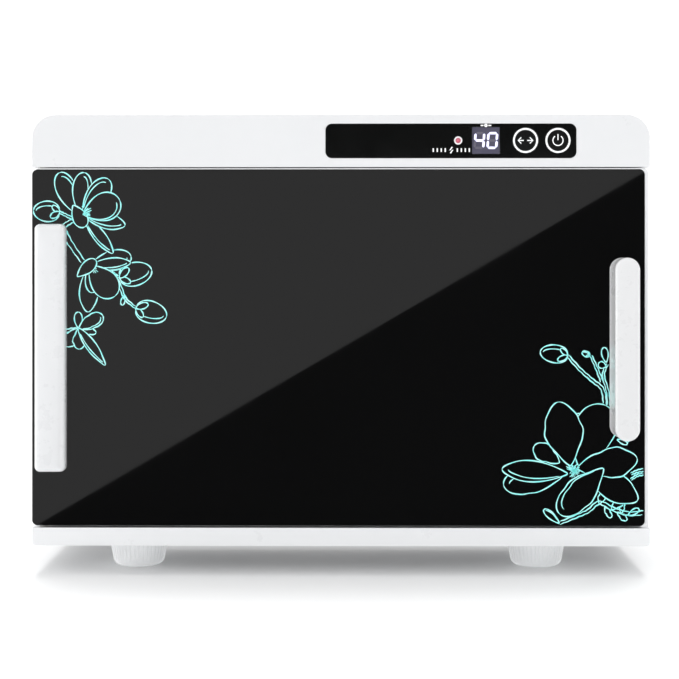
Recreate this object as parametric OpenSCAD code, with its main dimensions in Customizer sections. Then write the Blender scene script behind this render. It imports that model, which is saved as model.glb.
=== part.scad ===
// Hot towel cabinet: a heated, UV-lit chamber behind a side-hung glass door.
// Millimetres. +Z is up and the door faces -Y. The origin is on the surface that the
// cabinet stands on, at the middle of the whole object's width and depth.

/* [Casing] */
// Width across the casing
cabinet_w = 450; // [446:1:470]
// Depth from the front of the fascia to the rear edge of the shell
cabinet_d = 258; // [256:1:280]
// Height of the casing above its feet
cabinet_h = 314; // [312:1:330]
// Radius of the casing's two upper edges
corner_r = 17; // [12:1:20]
// Thickness of the folded steel sheet
sheet_t = 0.8; // [0.7:0.1:1.2]
// Height of the feet
foot_h = 22; // [18:1:30]

/* [Front] */
// Height of the fascia that holds the controls
fascia_h = 38; // [37:1:42]
// Height of the rail under the door
rail_h = 13; // [12:1:16]
// Wall of the fascia, the rail and the other mouldings
mould_t = 2.5; // [2:0.1:3]
// Depth of the door, from its glass to its seal's free face
door_t = 26.7; // [26:0.1:28]
// How far the door handle stands out of the glass
handle_out = 24; // [18:1:30]

/* [Chamber] */
// Width inside the heated chamber
chamber_w = 376; // [360:2:376]
// Height inside the heated chamber
chamber_h = 216; // [206:2:216]
// Depth inside the heated chamber
chamber_d = 206; // [190:2:206]
// Height of the lower wire rack above the chamber's floor
lower_rack_z = 72; // [64:1:80]
// Height of the upper wire rack above the chamber's floor
upper_rack_z = 136; // [130:1:140]

/* [Controls] */
// Diameter of each push key
key_d = 18.6; // [16:0.1:19]
// How far a key can be pressed
key_travel = 1; // [0.5:0.1:1]

/* [Hidden] */
$fn = 64;

// Colours
white_paint = "whitesmoke";
white_plastic = "white";
bare_steel = "silver";
foil = "lightgray";
glass_black = [0.04, 0.04, 0.045];
board_green = "darkgreen";
wool = "khaki";

// Main planes
x_side = cabinet_w / 2;
y_front = (handle_out - cabinet_d) / 2;
y_back = y_front + cabinet_d;
y_rear = y_back - 1.6;
seal_gap = 0.3;
y_face = y_front + door_t + seal_gap;
z_base = foot_h;
z_top = z_base + cabinet_h;
z_rail = z_base + rail_h;
z_fascia = z_top - fascia_h;
fit_gap = 0.2;
slide_gap = 0.3;
base_r = 3;
cut = 1;

// Door
door_clear = 0.8;
door_z0 = z_rail + door_clear;
door_z1 = z_fascia - door_clear;
door_zm = (door_z0 + door_z1) / 2;
door_x0 = -x_side + 0.4;
door_x1 = x_side - 1.1;
glass_t = 4;
glass_r = 4;
glass_x0 = -x_side;
glass_x1 = x_side - 3.7;
glass_edge = 0.9;
door_y1 = y_face - seal_gap - 4.2;
door_back_r = 8;
liner_t = 1.2;
liner_post = 4.6;
y_inner = y_front + glass_t + mould_t;
gasket_w = 8;

// Hinge, whose axis is vertical and inside the door's left edge
hinge_x = -x_side + 9;
hinge_y = y_front + 13;
pin_r = 3;
bush_gap = 0.05;
bush_r = 5;
bush_flange_t = 0.6;
strip_x0 = -x_side + 3;
strip_x1 = -x_side + 21;
strip_t = 2;
cover_w = 22.5;
cover_h = 180;
cover_out = 9.5;
cover_x = -x_side + 14.3;
cover_screw_z = [-72, -24, 24, 72];

// Handle
handle_w = 17.8;
handle_h = 131;
handle_x = x_side - 20.4;
handle_screw_z = [-48, 48];
screw_r = 1.9;
screw_hole_r = 2.1;

// Front frame and chamber
frame_t = 1.2;
liner_wall = 1;
chamber_r = 8;
chamber_y0 = y_face + frame_t;
chamber_y1 = chamber_y0 + chamber_d;
chamber_z0 = z_base + 32;
chamber_z1 = chamber_z0 + chamber_h;
mat_t = 0.8;
wrap_gap = 1.2;
wrap_x = 16;
wrap_low = 20;
wrap_high = 14;

// Racks and tray
rail_len = 190;
rail_y0 = chamber_y0 + 12;
rail_w = 11;
channel_t = 1.2;
channel_half = 2.8;
frame_wire_r = 2.5;
cross_wire_r = 1.5;
rack_x = chamber_w / 2 - channel_t - 5.3;
rack_y0 = chamber_y0 + 15;
rack_y1 = chamber_y0 + 196;
rack_r = 12;
cross_wires = 21;
tray_w = chamber_w - 16;
tray_h = 17;
tray_y0 = chamber_y0 + 14;
tray_d = 186;
tray_t = 1;

// Lamp, above the upper rack
lamp_y = chamber_y0 + 122;
lamp_z = chamber_z1 - 18;
lamp_len = 196;
lamp_r = 8;
cap_len = 9;

// Control panel
panel_x = 80.4;
panel_z = z_top - 19;
panel_w = 182.5;
panel_h = 25;
panel_r = 4.8;
panel_t = 2;
lamp_x = 85.7;
display_x = 105.9;
display_w = 20.2;
display_h = 19.6;
select_x = 134.7;
power_x = 158.3;
control_z = panel_z + 0.3;
flange_r = key_d / 2 + 1.2;
board_y = y_front + 8.6;
post_x = 93;
board_t = 1.6;

// Top compartment
tray_z = chamber_z1 + liner_wall + wrap_gap + wrap_high + 1;
power_board_x = 40;
power_board_y = 40;
power_board_w = 150;
power_board_d = 90;
standoff_h = 8;
ballast_x = -110;
ballast_y = 30;

// Rear
inlet_x = -160;
inlet_z = z_top - 26;
inlet_w = 27;
inlet_h = 19.5;
foot_x0 = -(x_side - 71.5);   // the feet sit a little towards the hinge side
foot_x1 = x_side - 77;
foot_y0 = y_front + 46;
foot_y1 = y_back - 40;

// ---------- shapes that repeat ----------

// Extrudes a shape drawn in X and Z from y0 to y1
module along_y(y0, y1) {
    translate([0, y1, 0]) rotate([90, 0, 0]) linear_extrude(y1 - y0) children();
}

// A rectangle from its lower middle, with one radius for the lower corners and one for the upper
module outline(w, h, low_r, high_r) {
    difference() {
        translate([-w / 2, 0]) square([w, h]);
        for (side = [-1, 1]) {
            corner_waste([side * w / 2, 0], [-side, 1], low_r);
            corner_waste([side * w / 2, h], [-side, -1], high_r);
        }
    }
}

// What a radius takes off a corner: at is the corner, and inward points into the shape
module corner_waste(at, inward, r) {
    centre = at + r * inward;
    difference() {
        translate([min(at.x, centre.x), min(at.y, centre.y)]) square(r);
        translate(centre) circle(r);
    }
}

// A rounded rectangle about a centre in X and Z
module rounded(w, h, r, x = 0, z = 0) {
    translate([x, z - h / 2]) outline(w, h, r, r);
}

// The casing's front outline, drawn in from its outer surface
module casing_outline(inset) {
    translate([0, z_base + inset])
        outline(cabinet_w - 2 * inset, cabinet_h - 2 * inset, max(base_r - inset, 1), corner_r - inset);
}

// A round-ended slot about a centre, long along Z
module slot(w, h, x, z) {
    translate([x, z]) {
        square([w, h - w], center = true);
        for (end = [-1, 1]) translate([0, end * (h - w) / 2]) circle(w / 2);
    }
}

// A cylinder along Y between two planes
module rod_y(r, x, z, y0, y1) {
    translate([x, y1, z]) rotate([90, 0, 0]) cylinder(r = r, h = y1 - y0);
}

// A cylinder along X between two planes
module rod_x(r, y, z, x0, x1) {
    translate([x0, y, z]) rotate([0, 90, 0]) cylinder(r = r, h = x1 - x0);
}

// A block between two corners
module block(low, high) {
    translate(low) cube(high - low);
}

// A pan-head screw along Y: its head starts at y and its shank runs towards dir
module screw_y(x, z, y, dir, len, head_r = 3.6, head_h = 1.5) {
    head = dir < 0 ? y + head_h : y - head_h;
    rod_y(head_r, x, z, min(y, head), max(y, head));
    rod_y(screw_r, x, z, min(y, y + dir * len), max(y, y + dir * len));
}

// ---------- casing ----------

// A folded wrap with a flange along each lower edge and one around its back
module outer_shell() color(white_paint) difference() {
    flange = 14;
    union() {
        along_y(y_face, y_back) difference() {
            casing_outline(0);
            casing_outline(sheet_t);
        }
        along_y(y_rear - 2 * sheet_t, y_rear - sheet_t) difference() {
            casing_outline(sheet_t / 2);
            casing_outline(flange);
        }
    }
    block([flange - x_side, y_face - cut, z_base - cut],
        [x_side - flange, y_back + cut, z_base + flange + cut]);
    for (p = rear_screws()) rod_y(screw_hole_r, p.x, p.y, y_rear - 5, y_rear);
}

module base_pan() color(white_paint) difference() {
    low = z_base + sheet_t;
    side = x_side - sheet_t - 2.2;
    y1 = y_rear - 2 * sheet_t - fit_gap;
    union() {
        block([-side, y_face + 1.5, low], [side, y1, low + sheet_t]);
        for (s = [-1, 1]) translate([s * (side - sheet_t / 2), (y_face + 1.5 + y1) / 2, low + 4])
            cube([sheet_t, y1 - y_face - 1.5, 8], center = true);
        block([-200, y1 - 1, low], [200, y_rear - sheet_t, low + sheet_t]);
        block([-200, y_rear - 2 * sheet_t, low], [200, y_rear - sheet_t, low + 18]);
    }
    rod_y(screw_hole_r, 0, z_base + 12, y_rear - 5, y_rear);
    for (x = [foot_x0, foot_x1], y = [foot_y0, foot_y1])
        translate([x, y, low - cut]) cylinder(r = 2.7, h = sheet_t + 2 * cut);
    for (i = [-4:4], y = [-20, 40])
        translate([i * 24 - 3, y, low - cut]) cube([6, 32, sheet_t + 2 * cut]);
}

module rear_panel() color(white_paint) along_y(y_rear - sheet_t, y_rear) difference() {
    casing_outline(sheet_t + fit_gap);
    for (i = [0:17], row = [0, 1]) slot(4, 16, 10 + i * 10, z_top - 42 + row * 21);
    rounded(inlet_w + 0.6, inlet_h + 0.6, 2, inlet_x, inlet_z);
    for (p = rear_screws()) translate(p) circle(screw_hole_r);
}

function rear_screws() = [
    for (x = [-x_side + 9, 0, x_side - 9], z = [z_base + 12, z_base + 160]) if (x != 0 || z < 100) [x, z],
    [-x_side + 22, z_top - 10], [0, z_top - 10], [x_side - 22, z_top - 10]
];

module front_frame() color(white_paint) along_y(y_face, y_face + frame_t) difference() {
    casing_outline(sheet_t + fit_gap);
    rounded(chamber_w, chamber_h, chamber_r, 0, (chamber_z0 + chamber_z1) / 2);
    rounded(200, 20, 3, 90, z_top - 20);
    rounded(11.4, 36.4, 1, catch_x, door_zm);
}

// The fascia is open at the back, so that the control board goes in from behind
module fascia() color(white_plastic) difference() {
    union() {
        difference() {
            along_y(y_front, y_face) intersection() {
                casing_outline(0);
                translate([-x_side, z_fascia]) square([cabinet_w, fascia_h]);
            }
            along_y(y_front + mould_t, y_face + cut) intersection() {
                casing_outline(mould_t);
                translate([-x_side, z_fascia + mould_t]) square([cabinet_w, fascia_h]);
            }
        }
        for (x = [panel_x - post_x, panel_x + post_x]) block(
            [x - 3, y_front + mould_t - cut, panel_z - 6], [x + 3, board_y, panel_z + 6]);
        for (x = [-150, -60]) block(
            [x - 1, y_front + mould_t - cut, z_fascia + 1], [x + 1, y_face - 6, z_top - 1]);
        translate([hinge_x, hinge_y, z_fascia + 1]) cylinder(r = bush_r + 2, h = 11);
    }
    along_y(y_front - cut, y_front + panel_t) rounded(panel_w + 0.3, panel_h + 0.3, panel_r, panel_x, panel_z);
    for (x = [select_x, power_x]) rod_y(flange_r + 0.4, x, control_z, y_front, y_front + mould_t + cut);
    rod_y(3.3, lamp_x, control_z, y_front, y_front + mould_t + cut);
    along_y(y_front, y_front + mould_t + cut)
        rounded(display_w + 0.4, display_h + 0.4, 0.6, display_x, control_z);
    translate([hinge_x, hinge_y, z_fascia - cut]) cylinder(r = bush_r, h = 10 + cut);
}

module bottom_rail() color(white_plastic) difference() {
    union() {
        difference() {
            along_y(y_front, y_face) intersection() {
                casing_outline(0);
                translate([-x_side, z_base]) square([cabinet_w, rail_h]);
            }
            block([-x_side + mould_t, y_front + mould_t, z_base + mould_t],
                [x_side - mould_t, y_face + cut, z_rail - mould_t]);
        }
        translate([hinge_x, hinge_y, z_base + 1]) cylinder(r = bush_r + 2, h = rail_h - 2);
        for (x = [-120, 0, 120]) block(
            [x - 1, y_front + 1, z_base + 1], [x + 1, y_face - 6, z_rail - 1]);
    }
    translate([hinge_x, hinge_y, z_rail - 9]) cylinder(r = bush_r, h = 9 + cut);
}

module hinge_bushes() color("ivory") {
    hinge_bush(z_fascia - bush_flange_t, z_fascia + 10, z_fascia - bush_flange_t);
    hinge_bush(z_rail - 9, z_rail + bush_flange_t, z_rail);
}

// The flange keeps the door clear of the mouldings above and below it
module hinge_bush(z0, z1, flange_z) translate([hinge_x, hinge_y, 0]) difference() {
    union() {
        translate([0, 0, z0]) cylinder(r = bush_r, h = z1 - z0);
        translate([0, 0, flange_z]) cylinder(r = bush_r + 1.5, h = bush_flange_t);
    }
    translate([0, 0, z0 - cut]) cylinder(r = pin_r + bush_gap, h = z1 - z0 + 2 * cut);
}

module foot_front_left() foot(foot_x0, foot_y0);
module foot_front_right() foot(foot_x1, foot_y0);
module foot_rear_left() foot(foot_x0, foot_y1);
module foot_rear_right() foot(foot_x1, foot_y1);

// A tapered cup with a rounded lower edge, hollow from below for its screw
foot_top_r = 22.6;
foot_low_r = 19.4;
foot_edge_r = 5;
module foot(x, y) color("gainsboro") translate([x, y, 0]) difference() {
    rotate_extrude() polygon(concat(
        [[0, foot_h], [0, 0]],
        [for (a = [-90:15:-10]) [foot_low_r + foot_edge_r * (cos(a) - 1), foot_edge_r * (1 + sin(a))]],
        [[foot_top_r, foot_h], [7, foot_h], [7, foot_h + sheet_t], [0, foot_h + sheet_t]]));
    translate([0, 0, -cut]) cylinder(r = 6.5, h = 12 + cut);
    translate([0, 0, -cut]) cylinder(r = 2.7, h = foot_h + 3 * cut);
}

module foot_screws() color(bare_steel) {
    for (x = [foot_x0, foot_x1], y = [foot_y0, foot_y1]) translate([x, y, 0]) {
        translate([0, 0, 8.5]) cylinder(r = 4.8, h = 3.5);
        translate([0, 0, 11]) cylinder(r = 2.5, h = z_base + 7.5 - 11);
        translate([0, 0, z_base + 2 * sheet_t]) cylinder(r = 4.6, h = 4, $fn = 6);
    }
}

module casing_screws() color(bare_steel) {
    for (p = rear_screws()) screw_y(p.x, p.y, y_rear, -1, 8);
}

// ---------- chamber ----------

module chamber_liner() color(foil) difference() {
    union() {
        along_y(chamber_y0, chamber_y1 + liner_wall) chamber_shape(liner_wall);
        along_y(chamber_y0, chamber_y0 + liner_wall) chamber_shape(7);
    }
    along_y(chamber_y0 - cut, chamber_y1) chamber_shape(0);
    for (x = [-112, 112]) translate([x, lamp_y, chamber_z1 - cut]) cylinder(r = 4, h = 3);
}

module chamber_shape(grow) {
    rounded(chamber_w + 2 * grow, chamber_h + 2 * grow, chamber_r + grow, 0, (chamber_z0 + chamber_z1) / 2);
}

// Four channels on the chamber's side walls, two for each rack
module rack_rails() color(bare_steel) {
    for (side = [-1, 1], h = [lower_rack_z, upper_rack_z]) rack_channel(side, chamber_z0 + h);
}

module rack_channel(side, z) {
    wall = side * chamber_w / 2;
    inner = wall - side * rail_w;
    web = wall - side * channel_t;
    tall = channel_half + channel_t;
    difference() {
        block([min(wall, inner), rail_y0, z - tall], [max(wall, inner), rail_y0 + rail_len, z + tall]);
        block([min(web, inner - side), rail_y0 - cut, z - channel_half],
            [max(web, inner - side), rail_y0 + rail_len + cut, z + channel_half]);
    }
}

module heater_mats() color("goldenrod") {
    side = chamber_w / 2 + liner_wall;
    block([-150, chamber_y0 + 20, chamber_z0 - liner_wall - mat_t], [150, chamber_y1 - 16, chamber_z0 - liner_wall]);
    for (s = [-1, 1]) translate([s * (side + mat_t / 2), (chamber_y0 + chamber_y1) / 2, chamber_z0 + 90])
        cube([mat_t, 150, 120], center = true);
}

module insulation_wrap() color(wool) difference() {
    along_y(chamber_y0 + liner_wall + 4, chamber_y1) difference() {
        translate([0, chamber_z0 - wrap_low]) outline(
            chamber_w + 2 * wrap_x, chamber_h + wrap_low + wrap_high, 6, 6);
        chamber_shape(liner_wall + wrap_gap);
    }
    for (x = [-112, 112]) translate([x, lamp_y, chamber_z1]) cylinder(r = 4, h = 20);
}

module insulation_back() color(wool) difference() {
    block([-chamber_w / 2, chamber_y1 + 2, chamber_z0], [chamber_w / 2, y_back - 4, chamber_z1]);
    for (x = [-70, 70]) rod_y(14, x, chamber_z0 + 120, chamber_y1, y_back);
}

module thermostat() color("dimgray") {
    at_y = chamber_y1 + liner_wall;
    z = chamber_z0 + 120;
    rod_y(8, 70, z, at_y + 1, at_y + 9);
    rod_y(12, 70, z, at_y, at_y + 1.2);
    for (s = [-1, 1]) block([70 + s * 4.5 - 0.4, at_y + 8, z - 3], [70 + s * 4.5 + 0.4, at_y + 15, z + 3]);
}

module thermal_fuse() color("tan") {
    at_y = chamber_y1 + liner_wall;
    z = chamber_z0 + 120;
    rod_x(2, at_y + 2.2, z, -77, -63);
    rod_x(0.6, at_y + 2.2, z, -82, -58);
    block([-72, at_y, z - 5], [-68, at_y + 1.2, z + 5]);
}

// ---------- ultraviolet lamp ----------

module uv_lamp_tube() color("lavender") rod_x(lamp_r, lamp_y, lamp_z, -lamp_len / 2, lamp_len / 2);

module uv_lamp_caps() color(bare_steel) for (s = [-1, 1]) {
    x0 = s * lamp_len / 2;
    x1 = x0 + s * cap_len;
    x2 = x1 + s * 5;
    rod_x(lamp_r + 0.3, lamp_y, lamp_z, min(x0, x1), max(x0, x1));
    for (e = [-1, 1]) rod_x(1.1, lamp_y + e * 2.4, lamp_z, min(x1 - s, x2), max(x1 - s, x2));
}

module uv_lamp_holders() color(white_plastic) for (s = [-1, 1]) {
    x0 = s * (lamp_len / 2 + cap_len + 0.2);
    x1 = x0 + s * 10;
    difference() {
        union() {
            rod_x(11, lamp_y, lamp_z, min(x0, x1), max(x0, x1));
            block([min(x0, x1), lamp_y - 11, lamp_z], [max(x0, x1), lamp_y + 11, chamber_z1]);
        }
        for (e = [-1, 1]) rod_x(1.3, lamp_y + e * 2.4, lamp_z, min(x0 - s, x0 + s * 6), max(x0 - s, x0 + s * 6));
    }
}

// A wire guard under the lamp: hoops joined by three long wires
module uv_lamp_guard() color(bare_steel) {
    hoop_r = 14;
    wire_r = 1.2;
    for (i = [-3:3]) translate([i * 28, lamp_y, lamp_z]) rotate([0, 90, 0]) guard_hoop(hoop_r, wire_r);
    for (a = [-55, 0, 55])
        rod_x(1, lamp_y + (hoop_r + 0.8) * sin(a), lamp_z - (hoop_r + 0.8) * cos(a), -88, 88);
}

module guard_hoop(hoop_r, wire_r) {
    rotate([0, 0, -90]) rotate_extrude(angle = 180) translate([hoop_r, 0]) circle(wire_r);
    for (s = [-1, 1]) translate([0, s * hoop_r, 0]) rotate([0, -90, 0])
        cylinder(r = wire_r, h = chamber_z1 - lamp_z);
}

// ---------- racks and tray ----------

module wire_rack_upper() color(bare_steel) wire_rack(chamber_z0 + upper_rack_z);
module wire_rack_lower() color(bare_steel) wire_rack(chamber_z0 + lower_rack_z);

// A closed frame of thick wire, with thin wires laid across it from front to back
module wire_rack(z) translate([0, 0, z]) {
    pitch = 2 * (rack_x - 6) / (cross_wires + 1);
    for (s = [-1, 1]) {
        rod_y(frame_wire_r, s * rack_x, 0, rack_y0 + rack_r, rack_y1 - rack_r);
        wire_elbow(s * (rack_x - rack_r), rack_y0 + rack_r, s > 0 ? 270 : 180);
        wire_elbow(s * (rack_x - rack_r), rack_y1 - rack_r, s > 0 ? 0 : 90);
    }
    for (y = [rack_y0, rack_y1]) rod_x(frame_wire_r, y, 0, rack_r - rack_x, rack_x - rack_r);
    rod_x(1.8, (rack_y0 + rack_y1) / 2, -0.7, -rack_x, rack_x);
    for (i = [1:cross_wires])
        rod_y(cross_wire_r, -rack_x + 6 + i * pitch, 1.9, rack_y0 - 1, rack_y1 + 1);
}

module wire_elbow(x, y, turn) {
    translate([x, y, 0]) rotate([0, 0, turn]) rotate_extrude(angle = 90)
        translate([rack_r, 0]) circle(frame_wire_r);
}

module drip_tray() color(foil) {
    z = chamber_z0 + slide_gap;
    difference() {
        union() {
            tray_solid(tray_w, tray_d, z, z + tray_h, 8);
            tray_solid(tray_w + 8, tray_d + 4, z + tray_h - tray_t, z + tray_h, 10);
        }
        tray_solid(tray_w - 2 * tray_t, tray_d - 2 * tray_t, z + tray_t, z + tray_h + cut, 7);
    }
    block([-30, tray_y0 - 9, z + tray_h - tray_t], [30, tray_y0 + 0.5, z + tray_h]);
}

module tray_solid(w, d, z0, z1, r) {
    translate([0, tray_y0 + tray_d / 2 - d / 2, z0]) linear_extrude(z1 - z0) outline(w, d, r, r);
}

// ---------- top compartment ----------

module component_tray() color(bare_steel) {
    side = x_side - sheet_t;
    difference() {
        block([-side, y_face + 12, tray_z], [side, y_back - 6, tray_z + 1]);
        for (x = [-112, 112]) translate([x, lamp_y, tray_z - cut]) cylinder(r = 5, h = 3);
    }
    for (s = [-1, 1]) translate([s * (side - 0.5), (y_face + y_back) / 2, tray_z + 6])
        cube([1, 180, 12], center = true);
}

module uv_ballast() color("white") {
    z = tray_z + 1;
    block([ballast_x - 55, ballast_y - 16, z], [ballast_x + 55, ballast_y + 16, z + 24]);
    for (s = [-1, 1]) difference() {
        translate([ballast_x + s * 60, ballast_y, z + 0.8]) cube([14, 22, 1.6], center = true);
        translate([ballast_x + s * 62, ballast_y, z - cut]) cylinder(r = 2.1, h = 4);
    }
}

function board_corners() = [for (sx = [-1, 1], sy = [-1, 1])
    [power_board_x + sx * (power_board_w / 2 - 6), power_board_y + sy * (power_board_d / 2 - 6)]];

module board_standoffs() color("goldenrod") for (p = board_corners())
    translate([p.x, p.y, tray_z + 1]) {
        cylinder(r = 3, h = standoff_h);
        cylinder(r = 1.5, h = standoff_h + 3);
        translate([0, 0, standoff_h + board_t]) cylinder(r = 2.9, h = 1.8);
    }

module power_board() color(board_green) difference() {
    translate([power_board_x, power_board_y, tray_z + 1 + standoff_h + board_t / 2])
        cube([power_board_w, power_board_d, board_t], center = true);
    for (p = board_corners()) translate([p.x, p.y, tray_z]) cylinder(r = 1.6, h = 20);
}

module power_board_parts() {
    z = tray_z + 1 + standoff_h + board_t;
    color("gold") on_board(-48, 8, 34, 30, 22, z);
    color("dodgerblue") for (i = [0, 1, 2]) on_board(2 + i * 22, 26, 19, 15, 15, z);
    color("black") on_board(10, -8, 14, 10, 3, z);
    color("seagreen") for (i = [-1, 1]) on_board(i * 32, -34, 40, 9, 11, z);
    color("navy") for (i = [0, 1]) translate([power_board_x + 42 + i * 14, power_board_y - 6, z])
        cylinder(r = 5, h = 18);
}

// A board component about a point of the power board
module on_board(x, y, w, d, h, z) {
    translate([power_board_x + x, power_board_y + y, z + h / 2]) cube([w, d, h], center = true);
}

// ---------- control panel ----------

module panel_insert() color(glass_black) difference() {
    along_y(y_front, y_front + panel_t) difference() {
        rounded(panel_w, panel_h, panel_r, panel_x, panel_z);
        rounded(display_w, display_h, 0.4, display_x, control_z);
    }
    for (x = [select_x, power_x]) rod_y(key_d / 2 + 0.15, x, control_z, y_front - cut, y_front + panel_t + cut);
    rod_y(3.1, lamp_x, control_z, y_front - cut, y_front + panel_t + cut);
}

module select_key() push_key(select_x);
module power_key() push_key(power_x);

// A key's cap, the flange that keeps it behind the insert, and its stem
module push_key(x) color(glass_black) {
    rod_y(key_d / 2, x, control_z, y_front, y_front + panel_t + 1);
    rod_y(flange_r, x, control_z, y_front + panel_t + 0.2, y_front + panel_t + 1.6);
    rod_y(2.5, x, control_z, y_front + panel_t + 1, board_y - 3.2 - key_travel);
}

module lamp_bezel() color(white_plastic) difference() {
    rod_y(3, lamp_x, control_z, y_front - 0.2, y_front + 3);
    rod_y(1.9, lamp_x, control_z, y_front - cut, y_front + 4);
}

module lamp_lens() color("crimson") {
    rod_y(1.85, lamp_x, control_z, y_front, board_y);
    intersection() {
        translate([lamp_x, y_front + 1, control_z]) sphere(1.85);
        rod_y(1.84, lamp_x, control_z, y_front - 1, y_front + 1);
    }
}

module led_display() color("slategray") {
    along_y(y_front + 0.4, board_y) rounded(display_w - 0.2, display_h - 0.2, 0.3, display_x, control_z);
}

// Two seven-segment numerals that read 40
digit_w = 6;
digit_h = 12.6;
segment_t = 1.4;
module display_digits() color("aliceblue") {
    lit_digit(display_x - 4.6, [0, 1, 1, 0, 0, 1, 1]);
    lit_digit(display_x + 4.6, [1, 1, 1, 1, 1, 1, 0]);
}

// Segments in the usual order: top, upper right, lower right, bottom, lower left, upper left, middle
module lit_digit(x, lit) {
    along = digit_w / 2;
    rise = digit_h / 2;
    at = [[0, rise], [along, rise / 2], [along, -rise / 2], [0, -rise], [-along, -rise / 2], [-along, rise / 2],
        [0, 0]];
    for (i = [0:6]) if (lit[i] == 1) {
        flat = i % 3 == 0;
        along_y(y_front + 0.25, y_front + 0.4) translate([x + at[i].x, control_z + at[i].y])
            square(flat ? [digit_w - segment_t - 0.4, segment_t] : [segment_t, rise - segment_t + 0.4], center = true);
    }
}

module control_board() color(board_green) difference() {
    along_y(board_y, board_y + board_t) rounded(2 * post_x + 8, 28, 1, panel_x, panel_z);
    for (x = [-post_x, post_x]) rod_y(1.6, panel_x + x, panel_z, board_y - cut, board_y + board_t + cut);
}

// Chips and a connector behind the board, and a push switch in front of it for each key
module control_board_parts() color("black") {
    back = board_y + board_t;
    for (x = [select_x, power_x]) {
        block([x - 3, board_y - 2.4, control_z - 3], [x + 3, board_y, control_z + 3]);
        rod_y(1.7, x, control_z, board_y - 3, board_y - 2);
    }
    block([40, back, panel_z - 5], [52, back + 2.2, panel_z + 5]);
    block([8, back, panel_z - 8], [16, back + 6, panel_z + 8]);
    for (i = [0:4]) block([100 + i * 9, back, panel_z - 3], [104 + i * 9, back + 1.4, panel_z + 3]);
}

// ---------- rear inlet and wiring ----------

module power_inlet() color("dimgray") difference() {
    union() {
        along_y(y_back - 1.6, y_back) rounded(inlet_w + 8, inlet_h + 5, 3, inlet_x, inlet_z);
        along_y(y_back - 26, y_back - 1) rounded(inlet_w, inlet_h, 2, inlet_x, inlet_z);
    }
    along_y(y_back - 19, y_back + cut) polygon([
        for (p = [[-12, -8], [12, -8], [12, 4], [8, 8], [-8, 8], [-12, 4]]) [inlet_x + p.x, inlet_z + p.y]]);
    inlet_blades();
}

module inlet_pins() color(bare_steel) inlet_blades();

module inlet_blades() for (p = [[-7, -2], [7, -2], [0, 2]])
    block([inlet_x + p.x - 1, y_back - 34, inlet_z + p.y - 2], [inlet_x + p.x + 1, y_back - 6, inlet_z + p.y + 2]);

// Leads: control board to power board, inlet to transformer, power board to ballast, ballast to lamp
loom_routes = [
    [[12, -100.8, 317], [12, -84, 317], [10, -50, 312], [8, -12, 311], [8, 4, 313], [8, 6, 306.8]],
    [[-153, 107, 308], [-150, 94, 305], [-100, 76, 298], [-60, 60, 300], [-25, 50, 306]],
    [[-12, 6, 301], [-24, 10, 302], [-42, 20, 300], [-55, 24, 300]],
    [[-112, lamp_y, 270], [-112, lamp_y, 280], [-112, lamp_y, 288]],
    [[112, lamp_y, 270], [112, lamp_y, 284], [104, 32, 291], [40, 28, 291], [-30, 28, 292], [-55, 28, 298]]
];
module wiring_loom() color("dimgray") for (route = loom_routes) tube(smooth(route, 6), 1.8, 8);

// Points on a smooth curve through a route, with steps to each stretch
function smooth(p, steps) = concat(
    [for (i = [0:len(p) - 2], k = [0:steps - 1])
        curve_point(p[max(i - 1, 0)], p[i], p[i + 1], p[min(i + 2, len(p) - 1)], k / steps)],
    [p[len(p) - 1]]);
function curve_point(a, b, c, d, t) =
    0.5 * (2 * b + (c - a) * t + (2 * a - 5 * b + 4 * c - d) * t * t + (3 * b - a - 3 * c + d) * t * t * t);

// A closed tube that follows a line of points
module tube(line, r, sides) {
    n = len(line);
    rings = [for (i = [0:n - 1]) let (
        ahead = unit(line[min(i + 1, n - 1)] - line[max(i - 1, 0)]),
        across = unit(cross(ahead, abs(ahead.z) > 0.8 ? [1, 0, 0] : [0, 0, 1])),
        over = cross(across, ahead)
    ) for (k = [0:sides - 1]) line[i] + r * (cos(360 * k / sides) * across + sin(360 * k / sides) * over)];
    walls = [for (i = [0:n - 2], k = [0:sides - 1]) let (m = (k + 1) % sides, a = i * sides, b = a + sides)
        [a + k, a + m, b + m, b + k]];
    ends = [[for (k = [sides - 1:-1:0]) k], [for (k = [0:sides - 1]) (n - 1) * sides + k]];
    polyhedron(rings, concat(walls, ends), convexity = 4);
}
function unit(v) = v / norm(v);

// ---------- door catch and switch ----------

catch_x = x_side - 13;
module magnet_catch() color("dimgray") {
    along_y(y_face - 1.6, y_face) rounded(15, 46, 1, catch_x, door_zm);
    along_y(y_face - 0.5, y_face + 8) rounded(11, 36, 1, catch_x, door_zm);
}

module reed_switch() color(white_plastic) {
    along_y(chamber_y0, chamber_y0 + 5) rounded(10, 24, 1, catch_x, door_zm + 70);
}

module strike_plate() color(bare_steel) {
    along_y(door_y1 + liner_t, door_y1 + liner_t + 1.2) rounded(11, 40, 1, catch_x, door_zm);
}

module door_magnet() color("dimgray") {
    along_y(door_y1 - 7, door_y1 - 1) rounded(8, 20, 1, catch_x, door_zm + 70);
}

// ---------- door ----------

module door_glass() color(glass_black) difference() {
    along_y(y_front, y_front + glass_t) translate([(glass_x0 + glass_x1) / 2, door_z0 + glass_edge])
        outline(glass_x1 - glass_x0, door_z1 - door_z0 - 2 * glass_edge, glass_r, glass_r);
    door_screw_holes();
}

// Holes for the hinge cover's and the handle's screws, through the glass and the frame's front wall
module door_screw_holes() {
    for (z = cover_screw_z) rod_y(screw_hole_r, cover_x, door_zm + z, y_front - cut, y_inner + strip_t + cut);
    for (z = handle_screw_z) rod_y(screw_hole_r, handle_x, door_zm + z, y_front - cut, y_inner + cut);
}

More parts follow.
